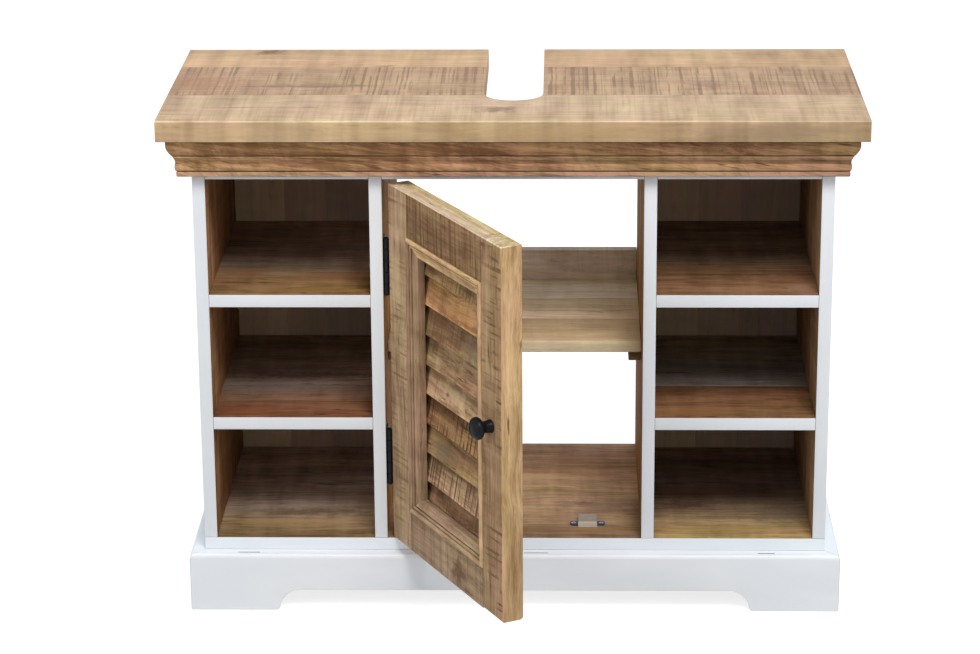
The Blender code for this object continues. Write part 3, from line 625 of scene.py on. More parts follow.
# Cornice
# A moulding run from solid mango wood and stained reddish brown: a fillet swelling into an ogee, a hollow,
# a flat bead and a small foot, with a scratched groove above and below. Mitred at the front corners.
SEAM = 0.0003
CARCASS_HALF = 0.365
CARCASS_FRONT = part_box("base_board")[0].y - SEAM / 2
CORNICE_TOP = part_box("cornice_front")[1].z
CORNICE_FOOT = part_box("cornice_front")[0].z
FILLET_DROP, FILLET_REACH = 0.006, 0.0252
OGEE_TOP = CORNICE_TOP + SEAM / 2 - FILLET_DROP
OGEE_DROP, OGEE_SWELL, OGEE_REACH = 0.0132, 0.0058, 0.0194
ARRIS_DROP = 0.0142
ARRIS = OGEE_TOP - ARRIS_DROP
HOLLOW_DROP, HOLLOW_SINK, HOLLOW_REACH = 0.008, 0.0029, 0.0186
BEAD_DROP, BEAD_SWELL, BEAD_REACH = 0.0095, 0.0008, 0.0157
LOWER_GROOVE = ARRIS - HOLLOW_DROP - BEAD_DROP - 0.0005
# Painted shadow in a line under the slab and in the two grooves, painted shade in the hollow, a painted
# highlight along the arris.
CORNICE_GROOVES = ((ARRIS + 0.0006, 0.0005), (LOWER_GROOVE, 0.0006))
FOOT_REACH, GROOVE_REACH, LOWER_GROOVE_REACH = 0.0150, 0.0176, 0.0140
SLAB_SHADOW_BAND, EDGE_BAND, HOLLOW_SHADE_BAND = 0.0017, 0.0012, (0.0045, 0.0092)
CORNICE_DARK, CORNICE_LIGHT = (0.365, 0.208, 0.107), (0.37, 0.215, 0.115)
CORNICE_PAINTED_SHADOW, CORNICE_EDGE_HIGHLIGHT = (0.09, 0.05, 0.027), (0.56, 0.36, 0.21)
CORNICE_HOLLOW_SHADE, CORNICE_FOOT_TINT = (0.25, 0.14, 0.075), (0.38, 0.225, 0.14)
CORNICE_MARKS = 0.25
CORNICE_FADE, HOLLOW_FADE = 0.4, 1.0
GRAIN_RUN_OUT = 0.13


def cornice_section():
    """The moulding's section as reach from the carcass and height."""
    neck = ARRIS - HOLLOW_DROP
    bead_foot = neck - BEAD_DROP
    shares = [step / 10 for step in range(11)]
    points = [(SEAM, CORNICE_TOP), (FILLET_REACH - 0.0006, CORNICE_TOP)]
    points += [(FILLET_REACH, CORNICE_TOP - drop) for drop in (0.0006, 0.0016, 0.0026)]
    points += [(OGEE_REACH + OGEE_SWELL * math.cos(QUARTER * share), OGEE_TOP - OGEE_DROP * share)
               for share in shares]
    points += [(GROOVE_REACH, ARRIS + 0.0008), (GROOVE_REACH, ARRIS + 0.0002)]
    points += [(HOLLOW_REACH - HOLLOW_SINK * math.sin(QUARTER * share), ARRIS - HOLLOW_DROP * share)
               for share in shares]
    points += [(BEAD_REACH + BEAD_SWELL * math.sin(math.pi * share), neck - BEAD_DROP * share)
               for share in shares[1:]]
    points += [(LOWER_GROOVE_REACH, bead_foot - 0.0001), (LOWER_GROOVE_REACH, bead_foot - 0.0009),
               (FOOT_REACH - 0.0004, bead_foot - 0.0010), (FOOT_REACH, bead_foot - 0.0015),
               (FOOT_REACH, CORNICE_FOOT + 0.0014), (FOOT_REACH - 0.0003, CORNICE_FOOT + 0.0005),
               (FOOT_REACH - 0.0011, CORNICE_FOOT), (SEAM, CORNICE_FOOT)]
    return points


def cornice_stained(bm, along, seed):
    """Stains a length of cornice, darker above its arris, with the grain running out across its height,
    with painted shadow in a line under the slab and in the grooves, painted shade in the hollow and a
    painted highlight along the arris.
    """
    marked(bm, bm.verts, along, CORNICE_DARK, CORNICE_MARKS, seed)
    grain = bm.verts.layers.float_vector["grain"]
    for vert in bm.verts:
        vert[grain].z += GRAIN_RUN_OUT * vert[grain].x
        below, fade = ARRIS - vert.co.z, CORNICE_FADE
        # Painted shadow under the slab and in the grooves, painted shade in the hollow, a painted highlight
        # at the arris.
        in_shaded_groove = any(abs(vert.co.z - height) < reach for height, reach in CORNICE_GROOVES)
        if in_shaded_groove or vert.co.z > CORNICE_TOP - SLAB_SHADOW_BAND:
            stained(bm, [vert], CORNICE_PAINTED_SHADOW)
        elif vert.co.z < LOWER_GROOVE:
            stained(bm, [vert], CORNICE_FOOT_TINT, CORNICE_MARKS)
        elif HOLLOW_SHADE_BAND[0] < below < HOLLOW_SHADE_BAND[1]:
            stained(bm, [vert], CORNICE_HOLLOW_SHADE, CORNICE_MARKS)
            fade = HOLLOW_FADE
        elif below > -CLOSE:
            stained(bm, [vert], CORNICE_EDGE_HIGHLIGHT if below < EDGE_BAND else CORNICE_LIGHT, CORNICE_MARKS)
        shaded(bm, [vert], 1 - fade * vert.co.x)


cornice_wood = sawn_wood("stained_cornice_wood", 1.8, 150.0, (0.40, 0.32, 0.26), 0.1, 0.5, lean=0.8)
section = cornice_section()
half = CARCASS_HALF - SEAM
bm = new_wood()
drawn(bm, [(-half, CARCASS_FRONT - reach, z) for reach, z in section], (2 * half, 0, 0))
for vert in bm.verts:
    vert.co.x += math.copysign(CARCASS_FRONT - vert.co.y, vert.co.x)
cornice_stained(bm, "X", 51)
made_piece("cornice_front", "moulding", bm, [cornice_wood], "cabinet", 30.0)
for word, side, seed in (("left", -1, 52), ("right", 1, 53)):
    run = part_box(f"cornice_{word}")[1].y - CARCASS_FRONT
    bm = new_wood()
    drawn(bm, [(side * (CARCASS_HALF + reach), CARCASS_FRONT, z) for reach, z in section], (0, run, 0))
    for vert in bm.verts:
        if vert.co.y < CARCASS_FRONT + run / 2:
            vert.co.y -= abs(vert.co.x) - CARCASS_HALF - SEAM
    cornice_stained(bm, "Y", seed)
    made_piece(f"cornice_{word}", "moulding", bm, [cornice_wood], "cabinet", 30.0)


# Top slab
# Three mango planks glued edge to edge, 25 mm thick, oiled so that their different tones show, with the
# saw's marks left in clusters across the middle plank. A U is cut from the back for the drain pipe.
SLAB_JOINTS = (0.0865, 0.226)
SLAB_EASE, JOINT_EASE = 0.002, 0.0003
CUT_RADIUS = 0.034
CUT_CENTRE = 0.0945
LONG_EDGE = 0.03
SLAB_SEED = 60
SLAB_FACE, SLAB_ARRIS_HIGHLIGHT = (0.45, 0.31, 0.185), (0.68, 0.52, 0.37)
SLAB_LEVEL, SLAB_FADE = 0.975, 0.125
DARK_KNOT, BROWN, PEACH = (0.36, 0.24, 0.20), (0.62, 0.48, 0.40), (1.05, 0.9, 0.75)
PINK_STAIN, PURPLE = (0.84, 0.66, 0.60), (0.50, 0.41, 0.46)

# Each plank from the front: its tone, its share of saw marks, and its knots and stains.
SLAB_PLANKS = (
    ((0.585, 0.425, 0.28), 0.22,
     ((-0.018, 0.018, 0.030, 0.020, 0.7, DARK_KNOT), (-0.30, 0.028, 0.09, 0.004, 0.6, BROWN),
      (-0.232, 0.029, 0.018, 0.003, 0.9, DARK_KNOT), (0.194, 0.036, 0.04, 0.02, 0.4, PEACH))),
    ((0.515, 0.34, 0.205), 0.78,
     ((0.230, 0.140, 0.028, 0.034, 0.55, PURPLE), (-0.370, 0.150, 0.070, 0.07, 0.8, PINK_STAIN),
      (-0.250, 0.129, 0.110, 0.0065, 0.95, PURPLE), (-0.235, 0.133, 0.08, 0.014, 0.55, PURPLE))),
    ((0.645, 0.425, 0.238), 0.05,
     ((-0.301, 0.304, 0.028, 0.018, 1.0, DARK_KNOT), (-0.152, 0.231, 0.018, 0.005, 0.9, DARK_KNOT))),
)
SLAB_MARK_DEEP, FACE_MARK_DEEP, FACE_MARK_HIGH = 0.012, 0.006, 0.016
FACE_MARKS = ((0.30, 0.13, 0.6, (0.74, 0.73, 0.76)), (0.10, 0.15, 0.6, (1.06, 1.02, 0.80)),
              (-0.25, 0.07, 0.4, (0.85, 0.83, 0.85)), (-0.06, 0.02, 0.5, (0.80, 0.66, 0.50)))


def cut_turn(y):
    """How far round the pipe cut's arc a depth lies."""
    return math.asin((y - CUT_CENTRE) / CUT_RADIUS)


def slab_outlines(start, end, half):
    """The outlines of one plank of the slab, in two where the pipe cut parts it."""
    if start < CUT_CENTRE - CUT_RADIUS:
        turn = cut_turn(end)
        bow = arc((0, CUT_CENTRE), CUT_RADIUS, turn, -math.pi - turn, 24)
        return [[(-half, start), (half, start), (half, end)] + bow + [(-half, end)]]
    side = [(half, start), (half, end), (CUT_RADIUS, end)]
    if start < CUT_CENTRE:
        side += arc((0, CUT_CENTRE), CUT_RADIUS, 0.0, cut_turn(start), 4)
    else:
        side += [(CUT_RADIUS, start)]
    return [side, [(-x, y) for x, y in side[::-1]]]


low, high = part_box("top_slab")
slab_blemishes = [(in_wood(SLAB_SEED + number, (x, y + CARCASS_FRONT, high.z)),
                   (along, across, SLAB_MARK_DEEP), depth, shade)
                  for number, (tint, marks, spots) in enumerate(SLAB_PLANKS)
                  for x, y, along, across, depth, shade in spots]
slab_blemishes += [(in_wood(SLAB_SEED, (x, low.y, (low.z + high.z) / 2)),
                    (along, FACE_MARK_DEEP, FACE_MARK_HIGH), depth, shade)
                   for x, along, depth, shade in FACE_MARKS]
slab_wood = sawn_wood("oiled_top_wood", 0.42, 190.0, (0.50, 0.41, 0.35), 0.1, 0.4, 0.52, cover=0.85,
                      sheen=0.25, lean=0.0, figured=2.6, crisp=0.08, dashes=10, blemishes=slab_blemishes)
joints = [y + CARCASS_FRONT for y in SLAB_JOINTS]
starts = [low.y - CARCASS_FRONT] + [y + HAIRLINE for y in SLAB_JOINTS]
ends = [y - HAIRLINE for y in SLAB_JOINTS] + [high.y - CARCASS_FRONT]
bm = new_wood()
for number, (start, end, (tint, marks, spots)) in enumerate(zip(starts, ends, SLAB_PLANKS)):
    before = set(bm.verts)
    for outline in slab_outlines(start, end, high.x):
        drawn(bm, [(x, y + CARCASS_FRONT, low.z) for x, y in outline], (0, 0, high.z - low.z))
    fresh = {vert for vert in bm.verts if vert not in before}
    outer = []
    inner = []
    for edge in bm.edges:
        if not fresh.issuperset(edge.verts) or not is_corner(edge):
            continue
        at_joint = any(all(abs(vert.co.y - y) < CLOSE for vert in edge.verts) for y in joints)
        at_cut = all(abs(vert.co.x) < CUT_RADIUS + CLOSE for vert in edge.verts)
        run = edge.verts[0].co - edge.verts[1].co
        if at_joint:
            inner.append(edge)
        elif not at_cut and max(abs(run.x), abs(run.y)) > LONG_EDGE:
            outer.append(edge)
    marked(bm, fresh, "X", tint, marks, SLAB_SEED + number)
    rounded(bm, inner, JOINT_EASE, 1)
    rounded(bm, [edge for edge in outer if edge.is_valid], SLAB_EASE, 3)
# The front face takes its own tone; the rounded front arris takes a painted highlight.
for vert in bm.verts:
    if vert.co.y < low.y + CLOSE:
        stained(bm, [vert], SLAB_FACE)
    elif vert.co.y < low.y + SLAB_EASE - CLOSE and vert.co.z > high.z - SLAB_EASE:
        stained(bm, [vert], SLAB_ARRIS_HIGHLIGHT)
    shaded(bm, [vert], SLAB_LEVEL - SLAB_FADE * vert.co.x)
made_piece("top_slab", "planks", bm, [slab_wood], "cabinet")


# Door frame
# Two stiles and two rails of rough-sawn mango, 26.5 mm thick, their edges planed smooth and lighter. The
# door hangs ajar, so its pieces are made flat in its own frame and then turned about the hinge pins.
DOOR_AJAR = math.radians(62.5)
joint = frame["joints"][0]
pin_place = Matrix.Translation((joint["pos_m"][0], joint["pos_m"][1], 0))
door_place = pin_place @ Matrix.Rotation(-DOOR_AJAR, 4, "Z")
DOOR_LEFT, DOOR_RIGHT = 0.00385, 0.29115
DOOR_FACE, DOOR_BACK = 0.00165, 0.02785
STILE_LEFT, STILE_RIGHT = 0.0517, 0.2433
RAIL_LEFT, RAIL_RIGHT = STILE_LEFT + SEAM / 2, STILE_RIGHT - SEAM / 2
DOOR_LOW, DOOR_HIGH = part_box("door_stile_free")[0].z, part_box("door_stile_free")[1].z
RAIL_LOW, RAIL_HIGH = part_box("door_rail_bottom")[1].z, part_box("door_rail_top")[0].z
DOOR_EASE = 0.0012
STILE_FOOT_ROUND = 0.004
DOOR_TOP_FRONT, DOOR_TOP_BACK, DOOR_ARRIS_HIGHLIGHT = (0.47, 0.37, 0.29), (0.48, 0.375, 0.20), (0.72, 0.57, 0.41)
DOOR_SEED = 70

# Each piece: its left and right, its foot and head, the run of its grain, its tone and share of saw marks.
DOOR_FRAME = {
    "door_stile_hinge": (DOOR_LEFT, STILE_LEFT - SEAM / 2, DOOR_LOW, DOOR_HIGH, "Z",
                         (0.485, 0.335, 0.205), 0.75),
    "door_stile_free": (STILE_RIGHT + SEAM / 2, DOOR_RIGHT, DOOR_LOW, DOOR_HIGH, "Z",
                        (0.40, 0.257, 0.144), 0.95),
    "door_rail_top": (RAIL_LEFT, RAIL_RIGHT, RAIL_HIGH, DOOR_HIGH, "X", (0.362, 0.225, 0.12), 0.8),
    "door_rail_bottom": (RAIL_LEFT, RAIL_RIGHT, DOOR_LOW, RAIL_LOW, "X", (0.39, 0.265, 0.17), 0.35),
}

stile_wood = sawn_wood("weathered_stile_wood", 1.15, 190.0, (0.44, 0.36, 0.30), 0.15, 0.35, lean=-0.05,
                       cover=0.6)
rail_knots = [(in_wood(73, (0.18, DOOR_FACE, 0.108)), (0.034, 0.012, 0.022), 0.95, (0.40, 0.30, 0.24)),
              (in_wood(72, (0.205, DOOR_FACE, 0.489)), (0.02, 0.01, 0.013), 0.6, (0.45, 0.35, 0.28))]
rail_wood = sawn_wood("weathered_rail_wood", 1.0, 170.0, (0.36, 0.28, 0.23), 0.1, 0.3, lean=0.03, cover=1.0,
                      dashes=18, blemishes=rail_knots)
planed_wood = sawn_wood("planed_door_edges", 1.2, 60.0, (0.97, 0.95, 0.92), 0.0, 0.35, 0.55,
                        lift=(1.25, 1.28, 1.22), cover=-1.0, figured=0.15)
for number, (solid, values) in enumerate(DOOR_FRAME.items()):
    left, right, foot, head, along, tint, marks = values
    bm = new_wood()
    if solid == "door_stile_free":
        heel = (DOOR_FACE + STILE_FOOT_ROUND, DOOR_LOW + STILE_FOOT_ROUND)
        curve = arc(heel, STILE_FOOT_ROUND, math.pi, 3 * QUARTER, 8)
        curve += [(DOOR_FACE + DOOR_BACK - y, z) for y, z in curve[::-1]]
        outline = [(DOOR_FACE, DOOR_HIGH)] + curve + [(DOOR_BACK, DOOR_HIGH)]
        drawn(bm, [(left, y, z) for y, z in outline], (right - left, 0, 0))
        rounded(bm, [edge for edge in bm.edges if is_corner(edge)], DOOR_EASE, 3)
        marked(bm, bm.verts, along, tint, marks, DOOR_SEED + number)
    else:
        plank(bm, (left, DOOR_FACE, foot), (right, DOOR_BACK, head), along, tint, marks, DOOR_SEED + number,
              DOOR_EASE)
    bm.normal_update()
    for face in bm.faces:
        face.material_index = 1 if abs(face.normal.y) < 0.5 else 0
    # The top takes its own tones front and back; the rounded arris at its front takes a painted highlight.
    for vert in bm.verts:
        if vert.co.z > DOOR_HIGH - CLOSE:
            stained(bm, [vert], DOOR_TOP_FRONT if vert.co.y < DOOR_BACK / 2 else DOOR_TOP_BACK)
        elif vert.co.z > DOOR_HIGH - DOOR_EASE and vert.co.y < DOOR_FACE + DOOR_EASE:
            stained(bm, [vert], DOOR_ARRIS_HIGHLIGHT)
    bm.transform(door_place)
    made_piece(solid, "board", bm, [stile_wood if along == "Z" else rail_wood, planed_wood], "door")


# Door moulding
# Four mitred lengths planted inside the frame: a bead standing proud of the frame, a scratched groove,
# a thin fillet and a flat that falls away to the louvres.
MOULDING_WIDTH = 0.0195
MOULDING_BACK = 0.0135
BEAD_MIDDLE, BEAD_HALF, BEAD_PROUD = 0.00315, 0.00285, 0.002
MOULDING_SECTION = [(SEAM, MOULDING_BACK)]
MOULDING_SECTION += [(BEAD_MIDDLE + BEAD_HALF * x, -BEAD_PROUD * z)
                     for x, z in arc((0, 0), 1, math.pi, 0, 10)]
MOULDING_SECTION += [(0.0060, 0.0028), (0.0074, 0.0028), (0.0074, 0.0006), (0.0094, 0.0006),
                     (0.0098, 0.0010), (0.0098, 0.0032), (0.0110, 0.0032), (0.0112, 0.0024),
                     (0.0187, 0.0046), (MOULDING_WIDTH, 0.0054), (MOULDING_WIDTH, MOULDING_BACK)]
GROOVE_END, GROOVE_DEPTH, GROOVE_LIMIT = 0.0111, 0.0026, 0.0125
MOULDING_MARKS = 0.1
MOULDING_GROOVE_SHADE = (0.22, 0.14, 0.08)
MOULDING_TINTS = {"top": ((0.76, 0.525, 0.295), (0.36, 0.235, 0.14)),
                  "bottom": ((0.47, 0.32, 0.205), (0.50, 0.35, 0.24)),
                  "free": ((0.57, 0.38, 0.22), (0.33, 0.22, 0.14)),
                  "hinge": ((0.35, 0.232, 0.14), (0.34, 0.225, 0.145))}
across, up = (STILE_LEFT + STILE_RIGHT) / 2, (RAIL_LOW + RAIL_HIGH) / 2
wide, tall = STILE_RIGHT - STILE_LEFT, RAIL_HIGH - RAIL_LOW + SEAM
moulding_wood = sawn_wood("door_moulding_wood", 1.2, 90.0, (0.55, 0.48, 0.42), 0.1, 0.4)
for word, length, x, z, turn, seed in (("top", wide, across, RAIL_HIGH - SEAM / 2, 0, 76),
                                       ("bottom", wide, across, RAIL_LOW + SEAM / 2, math.pi, 77),
                                       ("free", tall, STILE_RIGHT, up, QUARTER, 78),
                                       ("hinge", tall, STILE_LEFT, up, -QUARTER, 79)):
    run = length / 2 - SEAM
    tint, inner_tint = MOULDING_TINTS[word]
    bm = new_wood()
    drawn(bm, [(-run, depth, -width) for width, depth in MOULDING_SECTION], (2 * run, 0, 0))
    for vert in bm.verts:
        vert.co.x -= math.copysign(vert.co.z, vert.co.x)
    marked(bm, bm.verts, "X", tint, MOULDING_MARKS, seed)
    # The bottoms of the grooves are darkened as painted shade.
    for vert in bm.verts:
        if GROOVE_DEPTH < vert.co.y < GROOVE_LIMIT and vert.co.z > -GROOVE_END:
            stained(bm, [vert], MOULDING_GROOVE_SHADE)
        elif vert.co.z < -MOULDING_WIDTH + SAME:
            stained(bm, [vert], inner_tint)
    spot = Matrix.Translation((x, DOOR_FACE - SEAM / 2, z)) @ Matrix.Rotation(turn, 4, "Y")
    bm.transform(door_place @ spot)
    made_piece(f"door_moulding_{word}", "length", bm, [moulding_wood], "door", 30.0)


# Louvre slats
# Nine thin slats of offcuts housed in the stiles, leaning back so that each laps the one below. Every one
# is from another plank, so tones run from pale tan to grey brown, with knots; each is drawn lighter at its
# foot and darker under the lap, as painted light and shade.
SLAT_CHORD = 0.038
SLAT_THICKNESS = 0.0045
SLAT_TILT = math.radians(12.0)
SLAT_EASE = 0.0008
SLAT_TOP_MARGIN, SLAT_FOOT_MARGIN = 0.003, 0.006
SLAT_FOOT_PAINTED_LIGHT, SLAT_LAP_PAINTED_SHADE = 1.25, 0.55
SLAT_MARK_DEEP = 0.008
SLAT_SEED = 81
DARK, RED, GREY = (0.42, 0.33, 0.27), (0.68, 0.50, 0.40), (0.66, 0.78, 0.84)
PALE, GOLD = (1.35, 1.36, 1.32), (1.2, 0.98, 0.72)

# Each slat from the top: its tone, its share of saw marks, and its knots and stains; the dark and red-brown
# marks near the top of the left end are partly painted shade from the slat above and the hinge moulding.
SLATS = (
    ((0.30, 0.19, 0.105), 0.6,
     ((0.03, 0.012, 0.03, 0.010, 0.8, DARK), (-0.06, 0.010, 0.02, 0.007, 0.8, DARK),
      (-0.02, 0.008, 0.03, 0.006, 0.6, GOLD))),
    ((0.60, 0.345, 0.172), 0.2,
     ((0.060, 0.020, 0.018, 0.014, 0.75, DARK), (-0.060, 0.018, 0.03, 0.018, 0.5, RED),
      (0.01, 0.012, 0.05, 0.010, 0.5, GOLD))),
    ((0.38, 0.25, 0.145), 0.5,
     ((0.040, 0.014, 0.05, 0.02, 0.6, GREY), (-0.040, 0.022, 0.05, 0.018, 0.7, RED),
      (0.012, 0.022, 0.012, 0.010, 0.7, DARK))),
    ((0.45, 0.30, 0.19), 0.2,
     ((-0.060, 0.026, 0.022, 0.012, 0.8, DARK), (0.050, 0.008, 0.04, 0.008, 0.5, GOLD))),
    ((0.55, 0.375, 0.23), 0.25,
     ((-0.004, 0.016, 0.050, 0.016, 0.85, PALE), (-0.055, 0.028, 0.03, 0.012, 0.85, RED),
      (0.064, 0.024, 0.022, 0.022, 0.7, RED), (-0.026, 0.014, 0.005, 0.004, 0.9, DARK),
      (0.024, 0.010, 0.004, 0.004, 0.8, DARK))),
    ((0.325, 0.185, 0.095), 1.2,
     ((-0.035, 0.029, 0.075, 0.015, 0.9, DARK), (0.062, 0.014, 0.022, 0.018, 0.6, DARK),
      (-0.010, 0.010, 0.04, 0.010, 0.6, PALE))),
    ((0.35, 0.22, 0.12), 0.25,
     ((-0.035, 0.012, 0.045, 0.017, 0.85, GREY), (-0.045, 0.028, 0.022, 0.008, 0.9, GOLD),
      (0.050, 0.022, 0.03, 0.012, 0.6, RED))),
    ((0.455, 0.31, 0.195), 1.2,
     ((-0.060, 0.024, 0.02, 0.016, 0.7, DARK), (0.030, 0.026, 0.02, 0.014, 0.6, DARK),
      (0.060, 0.012, 0.025, 0.012, 0.5, RED))),
    ((0.34, 0.22, 0.13), 0.4,
     ((-0.055, 0.030, 0.04, 0.018, 0.9, DARK), (0.000, 0.028, 0.025, 0.010, 0.9, GOLD),
      (0.05, 0.030, 0.03, 0.010, 0.8, DARK))),
)
slat_blemishes = [(in_wood(SLAT_SEED + number, (x, 0, z)), (along, SLAT_MARK_DEEP, across), depth, shade)
                  for number, (tint, marks, spots) in enumerate(SLATS)
                  for x, z, along, across, depth, shade in spots]
slat_wood = sawn_wood("louvre_slat_wood", 1.7, 230.0, (0.36, 0.28, 0.23), 0.3, 0.7, cover=1.0, crisp=0.05,
                      blemishes=slat_blemishes)
lowest = RAIL_LOW + SEAM / 2 + SLAT_FOOT_MARGIN + SLAT_THICKNESS * math.sin(SLAT_TILT)
highest = RAIL_HIGH - SEAM / 2 - SLAT_TOP_MARGIN - SLAT_CHORD * math.cos(SLAT_TILT)
slat_half = wide / 2 - SEAM
for number, (tint, marks, spots) in enumerate(SLATS):
    bm = new_wood()
    plank(bm, (-slat_half, 0, 0), (slat_half, SLAT_THICKNESS, SLAT_CHORD), "X", tint, marks,
          SLAT_SEED + number, SLAT_EASE)
    # The lower half is lightened as painted light on the lit foot, the upper half darkened as painted shade
    # under the lap.
    for vert in bm.verts:
        shaded(bm, [vert], SLAT_FOOT_PAINTED_LIGHT if vert.co.z < SLAT_CHORD / 2 else SLAT_LAP_PAINTED_SHADE)
    height = highest - (highest - lowest) * number / (len(SLATS) - 1)
    spot = Matrix.Translation((across, DOOR_FACE + SEAM / 2 + MOULDING_BACK, height))
    bm.transform(door_place @ spot @ Matrix.Rotation(-SLAT_TILT, 4, "X"))
    made_piece(f"slat_{number + 1}", "board", bm, [slat_wood], "door")


# Butt hinges
# Black lacquered steel: two leaves rolled round a headed pin in five knuckles, screwed to the partition
# and to the door's edge with countersunk screws.
HINGE_LENGTH = 0.068
KNUCKLES = 5
KNUCKLE_RADIUS, KNUCKLE_BORE, KNUCKLE_EASE, KNUCKLE_GAP = 0.0034, 0.0019, 0.0003, 0.0006
PIN_RADIUS, PIN_HEAD, PIN_HEAD_HEIGHT, PIN_HEAD_RIM = 0.0016, 0.0026, 0.0008, 0.0004
LEAF_WIDTH, LEAF_THICKNESS, LEAF_MIDDLE, LEAF_CORNER = 0.019, 0.0015, 0.00265, 0.0015
LEAF_ROOT, LEAF_LAP = 0.0038, 0.0002
LEAF_FACE = LEAF_MIDDLE - LEAF_THICKNESS / 2
LEAF_SCREWS = ((0.012, 0.0125), (HINGE_LENGTH / 2, 0.0105), (HINGE_LENGTH - 0.012, 0.0125))
SCREW_RADIUS = 0.0026
SCREW_SINK, SCREW_RISE = 0.0006, 0.0002


def lacquer(name, dark, rubbed, gloss=0.36, sheen=0.15):
    """Dark satin lacquer on iron, a little worn to grey where it is rubbed."""
    material, tree, shader = new_finish(name)
    place = own_place(tree)
    worn = patches(tree, place, (260, 260, 180), 0.62, 0.80, 4.0, 0.65)
    dull = ramped(tree, cells(tree, place, (90, 90, 90), 3.0), 0.2, 0.8, gloss, gloss + 0.16)
    wired(tree, shader, {"Base Color": mixed(tree, calc(tree, "MULTIPLY", worn, 0.30), dark, rubbed),
                         "Roughness": dull, "Specular IOR Level": sheen})
    bumped(tree, shader, cells(tree, place, (700, 700, 700)), 0.12, 0.0002)
    return material


def spun(bm, section, steps=40):
    """Turns a section of (radius, height) points, closed on itself or on the axis, about Z."""
    before = set(bm.verts)
    verts = [bm.verts.new((radius, 0, height)) for radius, height in section]
    edges = [bm.edges.new(pair) for pair in zip(verts, verts[1:] + verts[:1])]
    edges = [edge for edge in edges if max(vert.co.x for vert in edge.verts) > 0]
    bmesh.ops.spin(bm, geom=verts + edges, axis=(0, 0, 1), cent=(0, 0, 0), angle=math.tau, steps=steps,
                   use_merge=True)
    bmesh.ops.remove_doubles(bm, verts=[vert for vert in bm.verts if vert not in before], dist=SAME)
    bmesh.ops.delete(bm, geom=[edge for edge in bm.edges if not edge.link_faces], context="EDGES")
    faces = [face for face in bm.faces if all(vert not in before for vert in face.verts)]
    bmesh.ops.recalc_face_normals(bm, faces=faces)
    return [vert for vert in bm.verts if vert not in before]


def screw_head(bm, centre, normal):
    """A countersunk screw, its head just proud of the plate and dished for the driver."""
    section = [(0, -SCREW_SINK), (SCREW_RADIUS, -SCREW_SINK), (SCREW_RADIUS, SCREW_RISE / 4),
               (SCREW_RADIUS * 0.86, SCREW_RISE), (0, SCREW_RISE * 1.6)]
    head = spun(bm, section, 20)
    for vert in head:
        if math.hypot(vert.co.x, vert.co.y) < SAME and vert.co.z > 0:
            vert.co.z -= SCREW_SINK
    turn = Vector((0, 0, 1)).rotation_difference(Vector(normal)).to_matrix().to_4x4()
    bmesh.ops.transform(bm, matrix=Matrix.Translation(centre) @ turn, verts=head)


def hinge_leaf(side, own):
    """A leaf with its knuckles about the pin, which is the Z axis; its plate is on the given side."""
    bm = bmesh.new()
    pitch = HINGE_LENGTH / KNUCKLES
    left, right = side * LEAF_MIDDLE - LEAF_THICKNESS / 2, side * LEAF_MIDDLE + LEAF_THICKNESS / 2
    for row in own:
        low, high = row * pitch + KNUCKLE_GAP / 2, (row + 1) * pitch - KNUCKLE_GAP / 2
        spun(bm, [(KNUCKLE_BORE, low), (KNUCKLE_RADIUS - KNUCKLE_EASE, low),
                  (KNUCKLE_RADIUS, low + KNUCKLE_EASE), (KNUCKLE_RADIUS, high - KNUCKLE_EASE),
                  (KNUCKLE_RADIUS - KNUCKLE_EASE, high), (KNUCKLE_BORE, high)])
        block(bm, (left, LEAF_LAP, low), (right, LEAF_ROOT + LEAF_LAP, high))
    plate = set(block(bm, (left, LEAF_ROOT, 0), (right, LEAF_WIDTH, HINGE_LENGTH)))
    far = {vert for vert in plate if vert.co.y > LEAF_WIDTH - SAME}
    corners = [edge for edge in bm.edges if far.issuperset(edge.verts)
               and abs(edge.verts[0].co.x - edge.verts[1].co.x) > SAME]
    rounded(bm, corners, LEAF_CORNER, 4)
    for height, depth in LEAF_SCREWS:
        screw_head(bm, (side * LEAF_FACE, depth, height), (-side, 0, 0))
    return bm


black_iron = lacquer("black_satin_lacquer", (0.006, 0.007, 0.0095), (0.04, 0.042, 0.047))
for word in ("lower", "upper"):
    foot = Matrix.Translation((0, 0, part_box(f"hinge_{word}_frame_leaf")[0].z))
    for leaf, side, own, body, place in (("frame", -1, (0, 2, 4), "cabinet", pin_place),
                                         ("door", 1, (1, 3), "door", door_place)):
        bm = hinge_leaf(side, own)
        bm.transform(place @ foot)
        made_piece(f"hinge_{word}_{leaf}_leaf", "rolled", bm, [black_iron], body, 35.0)
    bm = bmesh.new()
    base, crown = -SEAM, HINGE_LENGTH + SEAM
    spun(bm, [(0, base - PIN_HEAD_HEIGHT), (PIN_RADIUS, base - PIN_HEAD_HEIGHT),
              (PIN_HEAD, base - PIN_HEAD_RIM), (PIN_HEAD, base), (PIN_RADIUS, base),
              (PIN_RADIUS, crown), (PIN_HEAD, crown), (PIN_HEAD, crown + PIN_HEAD_RIM),
              (PIN_RADIUS, crown + PIN_HEAD_HEIGHT), (0, crown + PIN_HEAD_HEIGHT)])
    bm.transform(pin_place @ foot)
    made_piece(f"hinge_{word}_pin", "headed", bm, [black_iron], "cabinet", 35.0)


